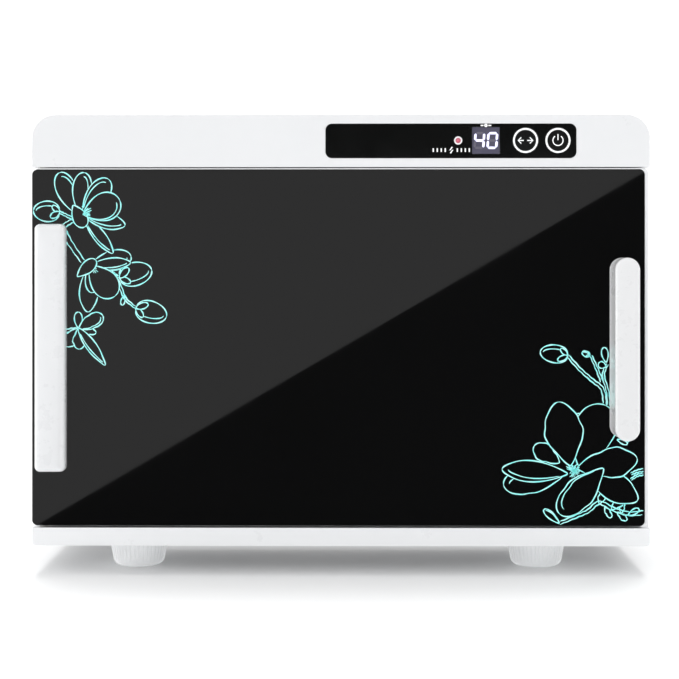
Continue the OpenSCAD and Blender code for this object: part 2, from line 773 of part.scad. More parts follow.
// A tray that is open at the back. Its left back edge is round, so that it clears the casing as it swings.
module door_frame() color(white_plastic) difference() {
    intersection() {
        translate([0, 0, door_z0]) linear_extrude(door_z1 - door_z0) door_plan(0);
        along_y(y_front, y_face) translate([(door_x0 + door_x1) / 2, door_z0])
            outline(door_x1 - door_x0, door_z1 - door_z0, glass_r, glass_r);
    }
    difference() {
        translate([0, 0, door_z0 + mould_t]) linear_extrude(door_z1 - door_z0 - 2 * mould_t) door_plan(mould_t);
        for (p = liner_screws()) block(
            [p.x - 4, y_inner - cut, p.y - liner_post], [p.x + 4, door_y1 + cut, p.y + liner_post]);
    }
    door_screw_holes();
    translate([hinge_x, hinge_y, door_z0 - cut]) cylinder(r = pin_r + 0.2, h = door_z1 - door_z0 + 2 * cut);
    for (p = liner_screws()) rod_y(1.6, p.x, p.y, door_y1 - 8, door_y1 + cut);
}

function liner_screws() = [for (x = [-160, 0, 160, door_x1 - 9], z = [door_z0 + liner_post, door_z1 - liner_post]) [x, z]];

// The door's plan from above, drawn in from its outer faces; it is open at the back where inset is above 0
module door_plan(inset) {
    x0 = door_x0 + inset;
    y0 = y_front + glass_t + inset;
    y1 = door_y1 + (inset > 0 ? cut : 0);
    r = door_back_r - inset;
    difference() {
        translate([x0, y0]) square([door_x1 - inset - x0, y1 - y0]);
        corner_waste([x0, door_y1], [1, -1], r);
        if (inset > 0) translate([x0 - cut, door_y1]) square([r + cut, 2 * cut]);
    }
}

module door_core() color("lightyellow") difference() {
    block([strip_x1 + 2, y_inner + 0.3, door_z0 + 10], [door_x1 - mould_t - 0.5, door_y1 - 0.3, door_z1 - 10]);
    for (z = handle_screw_z) rod_y(6, handle_x, door_zm + z, y_front, y_inner + 6);
    along_y(door_y1 - 8, door_y1 + cut) rounded(10, 22, 1, catch_x, door_zm + 70);
}

module door_liner() color(foil) difference() {
    along_y(door_y1, door_y1 + liner_t) translate([0, door_z0 + 1])
        translate([(door_x0 + door_back_r + door_x1) / 2, 0])
            outline(door_x1 - door_x0 - door_back_r - 1, door_z1 - door_z0 - 2, 3, 3);
    for (p = liner_screws()) rod_y(1.6, p.x, p.y, door_y1 - cut, door_y1 + liner_t + cut);
}

module door_liner_screws() color(bare_steel) for (p = liner_screws()) {
    rod_y(2.8, p.x, p.y, door_y1 + liner_t, door_y1 + liner_t + 1.4);
    rod_y(1.5, p.x, p.y, door_y1 - 7, door_y1 + liner_t + 0.5);
}

// The seal is a ring of silicone around the chamber's mouth
module door_gasket() color("gainsboro") along_y(door_y1 + liner_t, y_face - seal_gap) difference() {
    z = (chamber_z0 + chamber_z1) / 2;
    rounded(chamber_w + 2 * gasket_w + 4, chamber_h + 2 * gasket_w + 4, chamber_r + gasket_w, 0, z);
    rounded(chamber_w + 4, chamber_h + 4, chamber_r, 0, z);
}

module door_handle() color(white_plastic) difference() {
    along_y(y_front - handle_out, y_front) rounded(handle_w, handle_h, handle_w / 2, handle_x, door_zm);
    for (z = handle_screw_z) rod_y(screw_hole_r, handle_x, door_zm + z, y_front - 16, y_front + cut);
}

module handle_screws() color(bare_steel) {
    for (z = handle_screw_z) screw_y(handle_x, door_zm + z, y_inner, -1, 18);
}

module hinge_cover() color(white_plastic) difference() {
    along_y(y_front - cover_out, y_front) rounded(cover_w, cover_h, 4, cover_x, door_zm);
    for (z = cover_screw_z) rod_y(screw_hole_r, cover_x, door_zm + z, y_front - 7, y_front + cut);
}

// A steel strip behind the glass, with a tab at each end that carries a hinge pin
module hinge_strip() color(bare_steel) difference() {
    z0 = door_z0 + mould_t + fit_gap;
    z1 = door_z1 - mould_t - fit_gap;
    union() {
        block([strip_x0, y_inner, z0], [strip_x1, y_inner + strip_t, z1]);
        block([hinge_x - 5.5, y_inner, z0], [hinge_x + 7, hinge_y + 6, z0 + 3]);
        block([hinge_x - 5.5, y_inner, z1 - 3], [hinge_x + 7, hinge_y + 6, z1]);
    }
    translate([hinge_x, hinge_y, z0 - cut]) cylinder(r = pin_r, h = z1 - z0 + 2 * cut);
    for (z = cover_screw_z) rod_y(screw_hole_r, cover_x, door_zm + z, y_front, y_inner + strip_t + cut);
}

module hinge_pins() color(bare_steel) {
    hinge_pin(door_z0 + 2, z_rail - 8);
    hinge_pin(door_z1 - 2, z_fascia + 9);
}

// A pin from its head inside the door to its free end
module hinge_pin(inside, free) {
    dir = sign(free - inside);
    head = inside - dir * 6;
    translate([hinge_x, hinge_y, min(head, free)]) cylinder(r = pin_r, h = abs(free - head));
    low = dir > 0 ? head : head - 1.5;
    translate([hinge_x, hinge_y, low]) cylinder(r = pin_r + 1.4, h = 1.5);
}

module hinge_screws() color(bare_steel) {
    for (z = cover_screw_z) screw_y(cover_x, door_zm + z, y_inner + strip_t, -1, 14);
}

outer_shell();
base_pan();
rear_panel();
front_frame();
fascia();
bottom_rail();
chamber_liner();
rack_rails();
insulation_wrap();
insulation_back();
heater_mats();
thermostat();
thermal_fuse();
uv_lamp_tube();
uv_lamp_caps();
uv_lamp_holders();
uv_lamp_guard();
uv_ballast();
component_tray();
power_board();
power_board_parts();
board_standoffs();
control_board();
control_board_parts();
led_display();
display_digits();
lamp_bezel();
lamp_lens();
panel_insert();
wiring_loom();
power_inlet();
inlet_pins();
hinge_bushes();
magnet_catch();
reed_switch();
foot_front_left();
foot_front_right();
foot_rear_left();
foot_rear_right();
foot_screws();
casing_screws();
wire_rack_upper();
wire_rack_lower();
drip_tray();
select_key();
power_key();
door_frame();
door_glass();
door_core();
door_liner();
door_liner_screws();
door_gasket();
door_handle();
handle_screws();
hinge_cover();
hinge_strip();
hinge_pins();
hinge_screws();
strike_plate();
door_magnet();
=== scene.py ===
import math
import random

import bmesh
import bpy
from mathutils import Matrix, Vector


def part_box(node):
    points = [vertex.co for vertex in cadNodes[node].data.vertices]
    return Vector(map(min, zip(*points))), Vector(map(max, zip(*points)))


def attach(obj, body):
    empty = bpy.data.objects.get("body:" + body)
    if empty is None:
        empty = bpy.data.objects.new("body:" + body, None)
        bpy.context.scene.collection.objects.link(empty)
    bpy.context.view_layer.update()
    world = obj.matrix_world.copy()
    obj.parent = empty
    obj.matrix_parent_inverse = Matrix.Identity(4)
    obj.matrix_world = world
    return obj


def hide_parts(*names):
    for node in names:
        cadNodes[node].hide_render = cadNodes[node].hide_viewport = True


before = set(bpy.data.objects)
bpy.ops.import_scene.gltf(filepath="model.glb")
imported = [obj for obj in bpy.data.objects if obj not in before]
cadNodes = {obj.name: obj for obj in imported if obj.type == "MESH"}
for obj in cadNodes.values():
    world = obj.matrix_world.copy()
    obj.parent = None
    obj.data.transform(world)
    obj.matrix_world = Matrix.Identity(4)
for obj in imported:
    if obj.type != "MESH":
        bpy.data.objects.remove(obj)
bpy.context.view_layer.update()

scene = bpy.context.scene
mm = 0.001
print("frame loaded:", len(cadNodes), "CAD nodes")

# boxes that several pieces share
glassLow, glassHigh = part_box("door_glass")
shellLow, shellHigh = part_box("outer_shell")
frontY = glassLow.y      # the glass, the fascia and the rail all end in this plane


# ---- camera and studio ----

cameraLook = {
    "distance": 1.05,    # metres from the glass
    "lens": 76.42,
    "turn": 0.44,        # degrees to the right of straight on
    "height": 0.229,     # above the surface that the cabinet stands on
    "shiftX": -0.0014,
    "shiftY": -0.1145,   # the camera stays level, so that upright edges stay parallel
}

roomLook = {
    "colour": (0.985, 0.992, 1.0, 1),
    "strength": 1.02,
    "backdropStrength": 1.15,
    "darkStrength": 0.05,
    "darkFrom": -0.86,   # the room darkens towards this side, which the door's glass mirrors
    "darkTo": -0.94,
}

lightLook = {
    "overheadPower": 0.3,
    "overheadSoftness": 70,   # degrees
    "overheadAim": (0.1, -0.2, -1),
    "sidePower": 1.0,
    "sideSoftness": 50,
    "sideAim": (0.97, 0.2, -0.1),
    "floorPower": 1.75,        # lights the floor only, so that it stays white up to the shadow
    "floorSoftness": 26,
    "floorAim": (0, -0.155, -1),
    "underPower": 0.036,      # a strip under the cabinet, which keeps its shadow from closing up
    "underSize": (0.34, 0.05),
    "cardDistance": 2.1,
    "cardStrength": 0.66,
    "floorAlbedo": 0.82,
    "floorLift": 0.03,
    "lineDrop": 1.8 * mm,
}


def addCamera(look):
    data = bpy.data.cameras.new("viewCamera")
    data.sensor_width = 36
    data.lens = look["lens"]
    data.shift_x = look["shiftX"]
    data.shift_y = look["shiftY"]
    data.clip_end = 60
    viewCamera = bpy.data.objects.new("viewCamera", data)
    scene.collection.objects.link(viewCamera)
    turn = math.radians(look["turn"])
    away = Vector((math.sin(turn), -math.cos(turn), 0))
    viewCamera.location = Vector((0, frontY, look["height"])) + look["distance"] * away
    viewCamera.rotation_euler = (math.pi / 2, 0, turn)
    scene.camera = viewCamera
    return viewCamera


def addRoom(look):
    world = bpy.data.worlds.new("studioRoom")
    scene.world = world
    world.use_nodes = True
    tree = world.node_tree
    tree.nodes.clear()
    direction = tree.nodes.new("ShaderNodeTexCoord")
    split = tree.nodes.new("ShaderNodeSeparateXYZ")
    fade = tree.nodes.new("ShaderNodeMapRange")
    fade.interpolation_type = "SMOOTHSTEP"
    fade.inputs["From Min"].default_value = look["darkTo"]
    fade.inputs["From Max"].default_value = look["darkFrom"]
    fade.inputs["To Min"].default_value = look["darkStrength"]
    fade.inputs["To Max"].default_value = look["strength"]
    room = tree.nodes.new("ShaderNodeBackground")
    room.inputs["Color"].default_value = look["colour"]
    backdrop = tree.nodes.new("ShaderNodeBackground")
    backdrop.inputs["Color"].default_value = (1, 1, 1, 1)
    backdrop.inputs["Strength"].default_value = look["backdropStrength"]
    seen = tree.nodes.new("ShaderNodeLightPath")
    choose = tree.nodes.new("ShaderNodeMixShader")
    output = tree.nodes.new("ShaderNodeOutputWorld")
    tree.links.new(direction.outputs["Generated"], split.inputs[0])
    tree.links.new(split.outputs["Y"], fade.inputs["Value"])
    tree.links.new(fade.outputs["Result"], room.inputs["Strength"])
    tree.links.new(seen.outputs["Is Camera Ray"], choose.inputs[0])
    tree.links.new(room.outputs[0], choose.inputs[1])
    tree.links.new(backdrop.outputs[0], choose.inputs[2])
    tree.links.new(choose.outputs[0], output.inputs["Surface"])


def addStagePlane(name, corners, material):
    mesh = bpy.data.meshes.new(name)
    mesh.from_pydata(corners, [], [range(len(corners))])
    mesh.materials.append(material)
    plane = bpy.data.objects.new(name, mesh)
    scene.collection.objects.link(plane)
    return plane


def addFloor(look):
    paper = bpy.data.materials.new("floorPaper")
    paper.use_nodes = True
    shader = paper.node_tree.nodes["Principled BSDF"]
    shader.inputs["Base Color"].default_value = (*[look["floorAlbedo"]] * 3, 1)
    shader.inputs["Roughness"].default_value = 0.9
    shader.inputs["Specular IOR Level"].default_value = 0.1
    shader.inputs["Emission Color"].default_value = (1, 1, 1, 1)
    shader.inputs["Emission Strength"].default_value = look["floorLift"]
    reach = 14
    corners = [(-reach, -reach, 0), (reach, -reach, 0), (reach, reach, 0), (-reach, reach, 0)]
    floor = addStagePlane("floor", corners, paper)
    floor.visible_glossy = False
    return floor


def addCard(look, eye):
    # a pale card behind the camera, which the glass mirrors above the line between its corners
    glow = bpy.data.materials.new("cardGlow")
    glow.use_nodes = True
    tree = glow.node_tree
    tree.nodes.clear()
    emission = tree.nodes.new("ShaderNodeEmission")
    emission.inputs["Strength"].default_value = look["cardStrength"]
    output = tree.nodes.new("ShaderNodeOutputMaterial")
    tree.links.new(emission.outputs[0], output.inputs["Surface"])
    reach = 1 + look["cardDistance"] / (frontY - eye.y)
    slope = (glassHigh.z - glassLow.z) / (glassHigh.x - glassLow.x)
    over = 0.3
    above = 0.4 * mm     # it ends in the gap over the door, so that the control panel stays dark
    onGlass = [
        (glassLow.x - over, glassLow.z - over * slope - look["lineDrop"]),
        (glassHigh.x + (above + look["lineDrop"]) / slope, glassHigh.z + above),
        (glassLow.x - over, glassHigh.z + above),
    ]
    cardY = frontY - look["cardDistance"]
    corners = [(eye.x + reach * (x - eye.x), cardY, eye.z + reach * (z - eye.z)) for x, z in onGlass]
    card = addStagePlane("reflectedCard", corners, glow)
    card.visible_camera = False
    card.visible_diffuse = False
    card.visible_shadow = False
    card.visible_transmission = False


def addSun(name, look, key, receivers=()):
    data = bpy.data.lights.new(name, "SUN")
    data.energy = look[key + "Power"]
    data.angle = math.radians(look[key + "Softness"])
    sun = bpy.data.objects.new(name, data)
    sun.rotation_euler = Vector(look[key + "Aim"]).to_track_quat("-Z", "Y").to_euler()
    scene.collection.objects.link(sun)
    if receivers:
        lit = bpy.data.collections.new(name + "Receivers")
        for receiver in receivers:
            lit.objects.link(receiver)
        sun.light_linking.receiver_collection = lit


def addUnderLight(look):
    data = bpy.data.lights.new("underStrip", "AREA")
    data.shape = "RECTANGLE"
    data.size, data.size_y = look["underSize"]
    data.energy = look["underPower"]
    strip = bpy.data.objects.new("underStrip", data)
    strip.location = (0, (frontY + shellHigh.y) / 2, shellLow.z - 3 * mm)
    strip.visible_camera = False
    strip.visible_glossy = False
    scene.collection.objects.link(strip)


viewCamera = addCamera(cameraLook)
addRoom(roomLook)
floor = addFloor(lightLook)
addCard(lightLook, viewCamera.location)
addSun("overhead", lightLook, "overhead")
addSun("sideLight", lightLook, "side")
addSun("floorLight", lightLook, "floor", [floor])
addUnderLight(lightLook)
scene.view_settings.view_transform = "Standard"
print("camera and studio ready")


# ---- shader groups that the finishes share ----

floatKind = "NodeSocketFloat"
colourKind = "NodeSocketColor"
vectorKind = "NodeSocketVector"


def newGroup(name, inputs, outputs):
    group = bpy.data.node_groups.new(name, "ShaderNodeTree")
    for label, kind in inputs:
        group.interface.new_socket(label, in_out="INPUT", socket_type=kind)
    for label, kind in outputs:
        group.interface.new_socket(label, in_out="OUTPUT", socket_type=kind)
    return group, group.nodes.new("NodeGroupInput"), group.nodes.new("NodeGroupOutput")


def addNode(tree, kind, values=None, **settings):
    node = tree.nodes.new(kind)
    for setting, value in settings.items():
        setattr(node, setting, value)
    for socket, value in (values or {}).items():
        node.inputs[socket].default_value = value
    return node


def addNoise(tree, place, scale, detail, roughness=0.55):
    noise = addNode(tree, "ShaderNodeTexNoise", {"Detail": detail, "Roughness": roughness})
    tree.links.new(place, noise.inputs["Vector"])
    tree.links.new(scale, noise.inputs["Scale"])
    return noise


def addRange(tree, value, low, high, toLow=0.0, toHigh=1.0):
    ranged = addNode(tree, "ShaderNodeMapRange", interpolation_type="SMOOTHSTEP")
    for socket, setting in (("From Min", low), ("From Max", high), ("To Min", toLow), ("To Max", toHigh)):
        if hasattr(setting, "is_output"):
            tree.links.new(setting, ranged.inputs[socket])
        else:
            ranged.inputs[socket].default_value = setting
    tree.links.new(value, ranged.inputs["Value"])
    return ranged.outputs["Result"]


def addMath(tree, operation, first, second):
    node = addNode(tree, "ShaderNodeMath", operation=operation)
    for slot, value in enumerate((first, second)):
        if hasattr(value, "is_output"):
            tree.links.new(value, node.inputs[slot])
        else:
            node.inputs[slot].default_value = value
    return node.outputs[0]


def addMix(tree, factor, first, second):
    node = addNode(tree, "ShaderNodeMix", data_type="RGBA")
    for slot, value in ((0, factor), (6, first), (7, second)):
        if hasattr(value, "is_output"):
            tree.links.new(value, node.inputs[slot])
        else:
            node.inputs[slot].default_value = value
    return node.outputs[2]


def makeToneGroup():
    # soft patches between two colours, as pigment and handling leave them
    group, enter, leave = newGroup("surfaceTone",
        [("Place", vectorKind), ("Light Colour", colourKind), ("Deep Colour", colourKind),
            ("Patch Scale", floatKind)],
        [("Color", colourKind), ("Mask", floatKind)])
    noise = addNoise(group, enter.outputs["Place"], enter.outputs["Patch Scale"], 5)
    mask = addRange(group, noise.outputs[0], 0.3, 0.7)
    group.links.new(addMix(group, mask, enter.outputs["Light Colour"], enter.outputs["Deep Colour"]),
        leave.inputs["Color"])
    group.links.new(mask, leave.inputs["Mask"])
    return group


def makeWearGroup():
    # a mask along edges, broken up by noise, and the colour that rubbing brings out there
    group, enter, leave = newGroup("edgeWear",
        [("Place", vectorKind), ("Color", colourKind), ("Worn Colour", colourKind),
         ("Width", floatKind), ("Amount", floatKind), ("Breakup", floatKind)],
        [("Color", colourKind), ("Mask", floatKind)])
    rounded = addNode(group, "ShaderNodeBevel", samples=4)
    group.links.new(enter.outputs["Width"], rounded.inputs["Radius"])
    geometry = addNode(group, "ShaderNodeNewGeometry")
    facing = addNode(group, "ShaderNodeVectorMath", operation="DOT_PRODUCT")
    group.links.new(rounded.outputs[0], facing.inputs[0])
    group.links.new(geometry.outputs["Normal"], facing.inputs[1])
    edge = addRange(group, facing.outputs["Value"], 0.995, 0.86)
    noise = addNoise(group, enter.outputs["Place"], enter.outputs["Breakup"], 6, 0.65)
    chips = addRange(group, noise.outputs[0], 0.42, 0.62)
    mask = addMath(group, "MULTIPLY", addMath(group, "MULTIPLY", edge, chips), enter.outputs["Amount"])
    group.links.new(addMix(group, mask, enter.outputs["Color"], enter.outputs["Worn Colour"]),
        leave.inputs["Color"])
    group.links.new(mask, leave.inputs["Mask"])
    return group


def makeDustGroup():
    # dust lies on what faces up
    group, enter, leave = newGroup("settledDust",
        [("Place", vectorKind), ("Color", colourKind), ("Dust Colour", colourKind), ("Amount", floatKind)],
        [("Color", colourKind), ("Mask", floatKind)])
    geometry = addNode(group, "ShaderNodeNewGeometry")
    split = addNode(group, "ShaderNodeSeparateXYZ")
    group.links.new(geometry.outputs["Normal"], split.inputs[0])
    upward = addRange(group, split.outputs["Z"], 0.35, 1.0)
    noise = addNode(group, "ShaderNodeTexNoise", {"Scale": 34, "Detail": 8, "Roughness": 0.7})
    group.links.new(enter.outputs["Place"], noise.inputs["Vector"])
    patches = addRange(group, noise.outputs[0], 0.35, 0.75)
    mask = addMath(group, "MULTIPLY", addMath(group, "MULTIPLY", upward, patches), enter.outputs["Amount"])
    group.links.new(addMix(group, mask, enter.outputs["Color"], enter.outputs["Dust Colour"]),
        leave.inputs["Color"])
    group.links.new(mask, leave.inputs["Mask"])
    return group


def makeGrainGroup():
    # fine height: Stretch above 1 on an axis shortens the grain along it, so the others read as brushed
    group, enter, leave = newGroup("fineGrain",
        [("Place", vectorKind), ("Stretch", vectorKind), ("Scale", floatKind)],
        [("Height", floatKind)])
    stretched = addNode(group, "ShaderNodeVectorMath", operation="MULTIPLY")
    group.links.new(enter.outputs["Place"], stretched.inputs[0])
    group.links.new(enter.outputs["Stretch"], stretched.inputs[1])
    noise = addNoise(group, stretched.outputs[0], enter.outputs["Scale"], 4, 0.6)
    group.links.new(noise.outputs[0], leave.inputs["Height"])
    return group


def makeRoughGroup():
    # roughness wanders between two values, with finger smudges, and rises with the mask given
    group, enter, leave = newGroup("roughSpread",
        [("Place", vectorKind), ("Low", floatKind), ("High", floatKind), ("Scale", floatKind),
            ("Mask", floatKind)],
        [("Roughness", floatKind)])
    noise = addNoise(group, enter.outputs["Place"], enter.outputs["Scale"], 7, 0.7)
    spread = addRange(group, noise.outputs[0], 0.3, 0.7, enter.outputs["Low"], enter.outputs["High"])
    group.links.new(addMath(group, "ADD", spread, addMath(group, "MULTIPLY", enter.outputs["Mask"], 0.3)),
        leave.inputs["Roughness"])
    return group


groups = {
    "tone": makeToneGroup(),
    "wear": makeWearGroup(),
    "dust": makeDustGroup(),
    "grain": makeGrainGroup(),
    "rough": makeRoughGroup(),
}
print("shader groups ready:", len(groups))

plainFinish = {
    "light": (0.8, 0.8, 0.8), "deep": (0.77, 0.77, 0.78), "patchScale": 14,
    "worn": (0.88, 0.88, 0.88), "wearWidth": 0.5 * mm, "wear": 0.35, "breakup": 260,
    "dust": 0.05, "dustColour": (0.62, 0.60, 0.56),
    "rough": (0.30, 0.38), "roughScale": 45,
    "grainScale": 1500, "stretch": (1, 1, 1), "grainDepth": 0.01 * mm,
    "shader": {},
}


def placeGroup(tree, name, links, values=None):
    node = addNode(tree, "ShaderNodeGroup", node_tree=groups[name])
    for socket, source in links.items():
        tree.links.new(source, node.inputs[socket])
    for socket, value in (values or {}).items():
        node.inputs[socket].default_value = value
    return node


def makeFinish(name, look):
    look = {**plainFinish, **look}
    material = bpy.data.materials.new(name)
    material.use_nodes = True
    tree = material.node_tree
    shader = tree.nodes["Principled BSDF"]
    for socket, value in look["shader"].items():
        shader.inputs[socket].default_value = value
    place = addNode(tree, "ShaderNodeTexCoord").outputs["Object"]
    tone = placeGroup(tree, "tone", {"Place": place}, {
        "Light Colour": (*look["light"], 1), "Deep Colour": (*look["deep"], 1),
        "Patch Scale": look["patchScale"]})
    wear = placeGroup(tree, "wear", {"Place": place, "Color": tone.outputs["Color"]}, {
        "Worn Colour": (*look["worn"], 1), "Width": look["wearWidth"],
        "Amount": look["wear"], "Breakup": look["breakup"]})
    dust = placeGroup(tree, "dust", {"Place": place, "Color": wear.outputs["Color"]}, {
        "Dust Colour": (*look["dustColour"], 1), "Amount": look["dust"]})
    rough = placeGroup(tree, "rough", {"Place": place, "Mask": dust.outputs["Mask"]}, {
        "Low": look["rough"][0], "High": look["rough"][1], "Scale": look["roughScale"]})
    grain = placeGroup(tree, "grain", {"Place": place}, {
        "Stretch": look["stretch"], "Scale": look["grainScale"]})
    bump = addNode(tree, "ShaderNodeBump", {"Distance": look["grainDepth"]})
    tree.links.new(grain.outputs["Height"], bump.inputs["Height"])
    tree.links.new(dust.outputs["Color"], shader.inputs["Base Color"])
    tree.links.new(rough.outputs["Roughness"], shader.inputs["Roughness"])
    tree.links.new(bump.outputs["Normal"], shader.inputs["Normal"])
    return material


# ---- tools for pieces ----

def softenEdges(nodeName, width, segments=3, angle=40):
    # rounds a CAD node's sharp edges; its own mesh stays as it is
    node = cadNodes[nodeName]
    weld = node.modifiers.new("weld", "WELD")
    weld.merge_threshold = 0.01 * mm
    bevel = node.modifiers.new("softEdge", "BEVEL")
    bevel.width = width
    bevel.segments = segments
    bevel.limit_method = "ANGLE"
    bevel.angle_limit = math.radians(angle)
    bevel.use_clamp_overlap = True
    bevel.harden_normals = True
    smooth = node.modifiers.new("evenShade", "WEIGHTED_NORMAL")
    smooth.keep_sharp = True


def dressNodes(material, *nodeNames):
    for nodeName in nodeNames:
        node = cadNodes[nodeName]
        node.data.materials.clear()
        node.data.materials.append(material)


def addPiece(name, points, faces, material, body, sharpAngle=35):
    mesh = bpy.data.meshes.new(name)
    mesh.from_pydata([tuple(point) for point in points], [], faces)
    mesh.materials.append(material)
    for polygon in mesh.polygons:
        polygon.use_smooth = True
    mesh.update()
    mesh.set_sharp_from_angle(angle=math.radians(sharpAngle))
    piece = bpy.data.objects.new(name, mesh)
    scene.collection.objects.link(piece)
    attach(piece, body)
    return piece


def roundedLoop(centre, halfWidth, halfHeight, radius, y, steps=10):
    # a closed loop in X and Z, anticlockwise as seen from the front
    radius = min(radius, halfWidth, halfHeight)
    points = []
    for quarter, (sideX, sideZ) in enumerate(((1, 1), (-1, 1), (-1, -1), (1, -1))):
        cornerX = centre[0] + sideX * (halfWidth - radius)
        cornerZ = centre[1] + sideZ * (halfHeight - radius)
        for step in range(steps + 1):
            angle = math.pi / 2 * (quarter + step / steps)
            points.append(Vector((cornerX + radius * math.cos(angle), y, cornerZ + radius * math.sin(angle))))
    return points


def loft(loops, closeStart=True, closeEnd=True, joinEnds=False):
    count = len(loops[0])
    points = [point for loop in loops for point in loop]
    faces = []
    spans = len(loops) if joinEnds else len(loops) - 1
    for row in range(spans):
        following = (row + 1) % len(loops)
        for column in range(count):
            ahead = (column + 1) % count
            faces.append((row * count + column, row * count + ahead, following * count + ahead,
                following * count + column))
    if closeStart:
        faces.append(tuple(reversed(range(count))))
    if closeEnd:
        faces.append(tuple((len(loops) - 1) * count + column for column in range(count)))
    return points, faces


def faceOutwards(piece):
    mesh = piece.data
    shape = bmesh.new()
    shape.from_mesh(mesh)
    bmesh.ops.remove_doubles(shape, verts=shape.verts, dist=0.002 * mm)
    bmesh.ops.recalc_face_normals(shape, faces=shape.faces)
    shape.to_mesh(mesh)
    shape.free()


def solidBoxes(nodeName):
    # the lowest and highest corners of each separate solid in a CAD node
    shape = bmesh.new()
    shape.from_mesh(cadNodes[nodeName].data)
    bmesh.ops.remove_doubles(shape, verts=shape.verts, dist=0.01 * mm)
    left = set(shape.verts)
    boxes = []
    while left:
        edge = [left.pop()]
        found = list(edge)
        while edge:
            vert = edge.pop()
            for link in vert.link_edges:
                other = link.other_vert(vert)
                if other in left:
                    left.remove(other)
                    edge.append(other)
                    found.append(other)
        boxes.append((Vector([min(v.co[axis] for v in found) for axis in range(3)]),
            Vector([max(v.co[axis] for v in found) for axis in range(3)])))
    shape.free()
    return sorted(boxes, key=lambda box: tuple(box[0]))


# ---- white painted steel casing ----

paintedSteelLook = {
    # the paint is set darker than the mouldings' white as painted shade, which holds the casing's back and
    # sides down under the side light
    "light": (0.615, 0.62, 0.63), "deep": (0.585, 0.59, 0.60), "patchScale": 6,
    "worn": (0.69, 0.69, 0.70), "wearWidth": 0.8 * mm, "wear": 0.4,
    "dust": 0.08, "rough": (0.36, 0.46), "roughScale": 30,
    "grainScale": 620, "grainDepth": 0.03 * mm,      # orange peel of powder coat
    "shader": {"Coat Weight": 0.08, "Coat Roughness": 0.3},
}
paintedSteel = makeFinish("paintedSteel", paintedSteelLook)
dressNodes(paintedSteel, "outer_shell", "base_pan", "rear_panel", "front_frame")
softenEdges("outer_shell", 0.35 * mm)
for nodeName in ("base_pan", "rear_panel", "front_frame"):
    softenEdges(nodeName, 0.25 * mm, 2)


# ---- white mouldings: fascia, rail and door frame ----

mouldingLook = {
    "light": (0.805, 0.81, 0.82), "deep": (0.795, 0.80, 0.81), "patchScale": 9,
    "worn": (0.88, 0.88, 0.89), "wearWidth": 0.8 * mm, "wear": 0.5,
    "dust": 0.04, "rough": (0.27, 0.34), "roughScale": 26,
    "grainScale": 1900, "grainDepth": 0.006 * mm,
    "edgeRadius": 1.1 * mm,
    "shader": {"Coat Weight": 0.15, "Coat Roughness": 0.12},
}
# the rail is the same white moulding with a lighter colour: painted light that makes up for the shade it
# stands in near the floor
railPaintedLightLook = {**mouldingLook, "light": (0.90, 0.905, 0.915), "deep": (0.89, 0.895, 0.905)}
whiteMoulding = makeFinish("whiteMoulding", mouldingLook)
railPaintedLightMoulding = makeFinish("railPaintedLightMoulding", railPaintedLightLook)
dressNodes(whiteMoulding, "fascia", "door_frame")
dressNodes(railPaintedLightMoulding, "bottom_rail")
for nodeName in ("fascia", "bottom_rail", "door_frame"):
    softenEdges(nodeName, mouldingLook["edgeRadius"] * (0.55 if nodeName == "door_frame" else 1), 4)
print("casing and mouldings dressed")


# ---- door glass ----

glassLook = {
    "light": (0.0018, 0.0018, 0.0019), "deep": (0.0022, 0.0022, 0.0023), "patchScale": 5,
    "worn": (0.05, 0.055, 0.055), "wearWidth": 0.5 * mm, "wear": 0.6,
    "dust": 0.0, "rough": (0.015, 0.03), "roughScale": 18,
    "grainScale": 60, "grainDepth": 0.0004 * mm,
    "edgeRadius": 0.7 * mm,
}
blackGlass = makeFinish("blackGlass", glassLook)
dressNodes(blackGlass, "door_glass")
softenEdges("door_glass", glassLook["edgeRadius"], 3)


rimLook = {
    "cornerRadius": 4 * mm,
    "setBack": 0.15 * mm,    # behind the glass's face
    "edge": 0.3 * mm,
    "glassGap": 0.02 * mm,
    "startIn": 4 * mm,
    "steps": 12,
}


def rimPath(right, top, bottom, start, radius, steps, square=False):
    # along the top edge, down the free side and round the lower corner
    path = [(start, top)]
    for step in range(steps + 1):
        angle = math.pi / 2 * (1 - step / steps)
        path.append((right - radius + radius * math.cos(angle), top - radius + radius * math.sin(angle)))
    for step in range(steps + 1):
        angle = -math.pi / 2 * step / steps
        across, down = math.cos(angle), math.sin(angle)
        if square:      # the same turn, pushed out to a square corner
            most = max(across, -down)
            across, down = across / most, down / most
        path.append((right - radius + radius * across, bottom + radius + radius * down))
    return path


def buildRim():
    # the door frame's white lip round the glass
    look = rimLook
    frameLow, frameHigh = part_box("door_frame")
    start = glassLow.x + look["startIn"]
    outer = rimPath(frameHigh.x, frameHigh.z, frameLow.z, start, look["cornerRadius"], look["steps"], True)
    gap = look["glassGap"]
    inner = rimPath(glassHigh.x + gap, glassHigh.z + gap, glassLow.z - gap, start, look["cornerRadius"],
        look["steps"])
    face = frontY + look["setBack"]
    section = [(0, glassHigh.y), (0, face + look["edge"]), (0.14, face), (0.86, face),
        (1, face + look["edge"]), (1, glassHigh.y)]
    points, faces = [], []
    for (outerX, outerZ), (innerX, innerZ) in zip(outer, inner):
        for share, y in section:
            points.append((outerX + (innerX - outerX) * share, y, outerZ + (innerZ - outerZ) * share))
    count = len(section)
    for row in range(len(outer) - 1):
        for column in range(count):
            ahead = (column + 1) % count
            faces.append((row * count + column, row * count + ahead, (row + 1) * count + ahead,
                (row + 1) * count + column))
    faces.append(tuple(range(count)))
    faces.append(tuple((len(outer) - 1) * count + column for column in range(count)))
    rim = addPiece("doorRim", points, faces, whiteMoulding, "door", 60)
    faceOutwards(rim)


buildRim()


# ---- line flowers printed on the glass ----

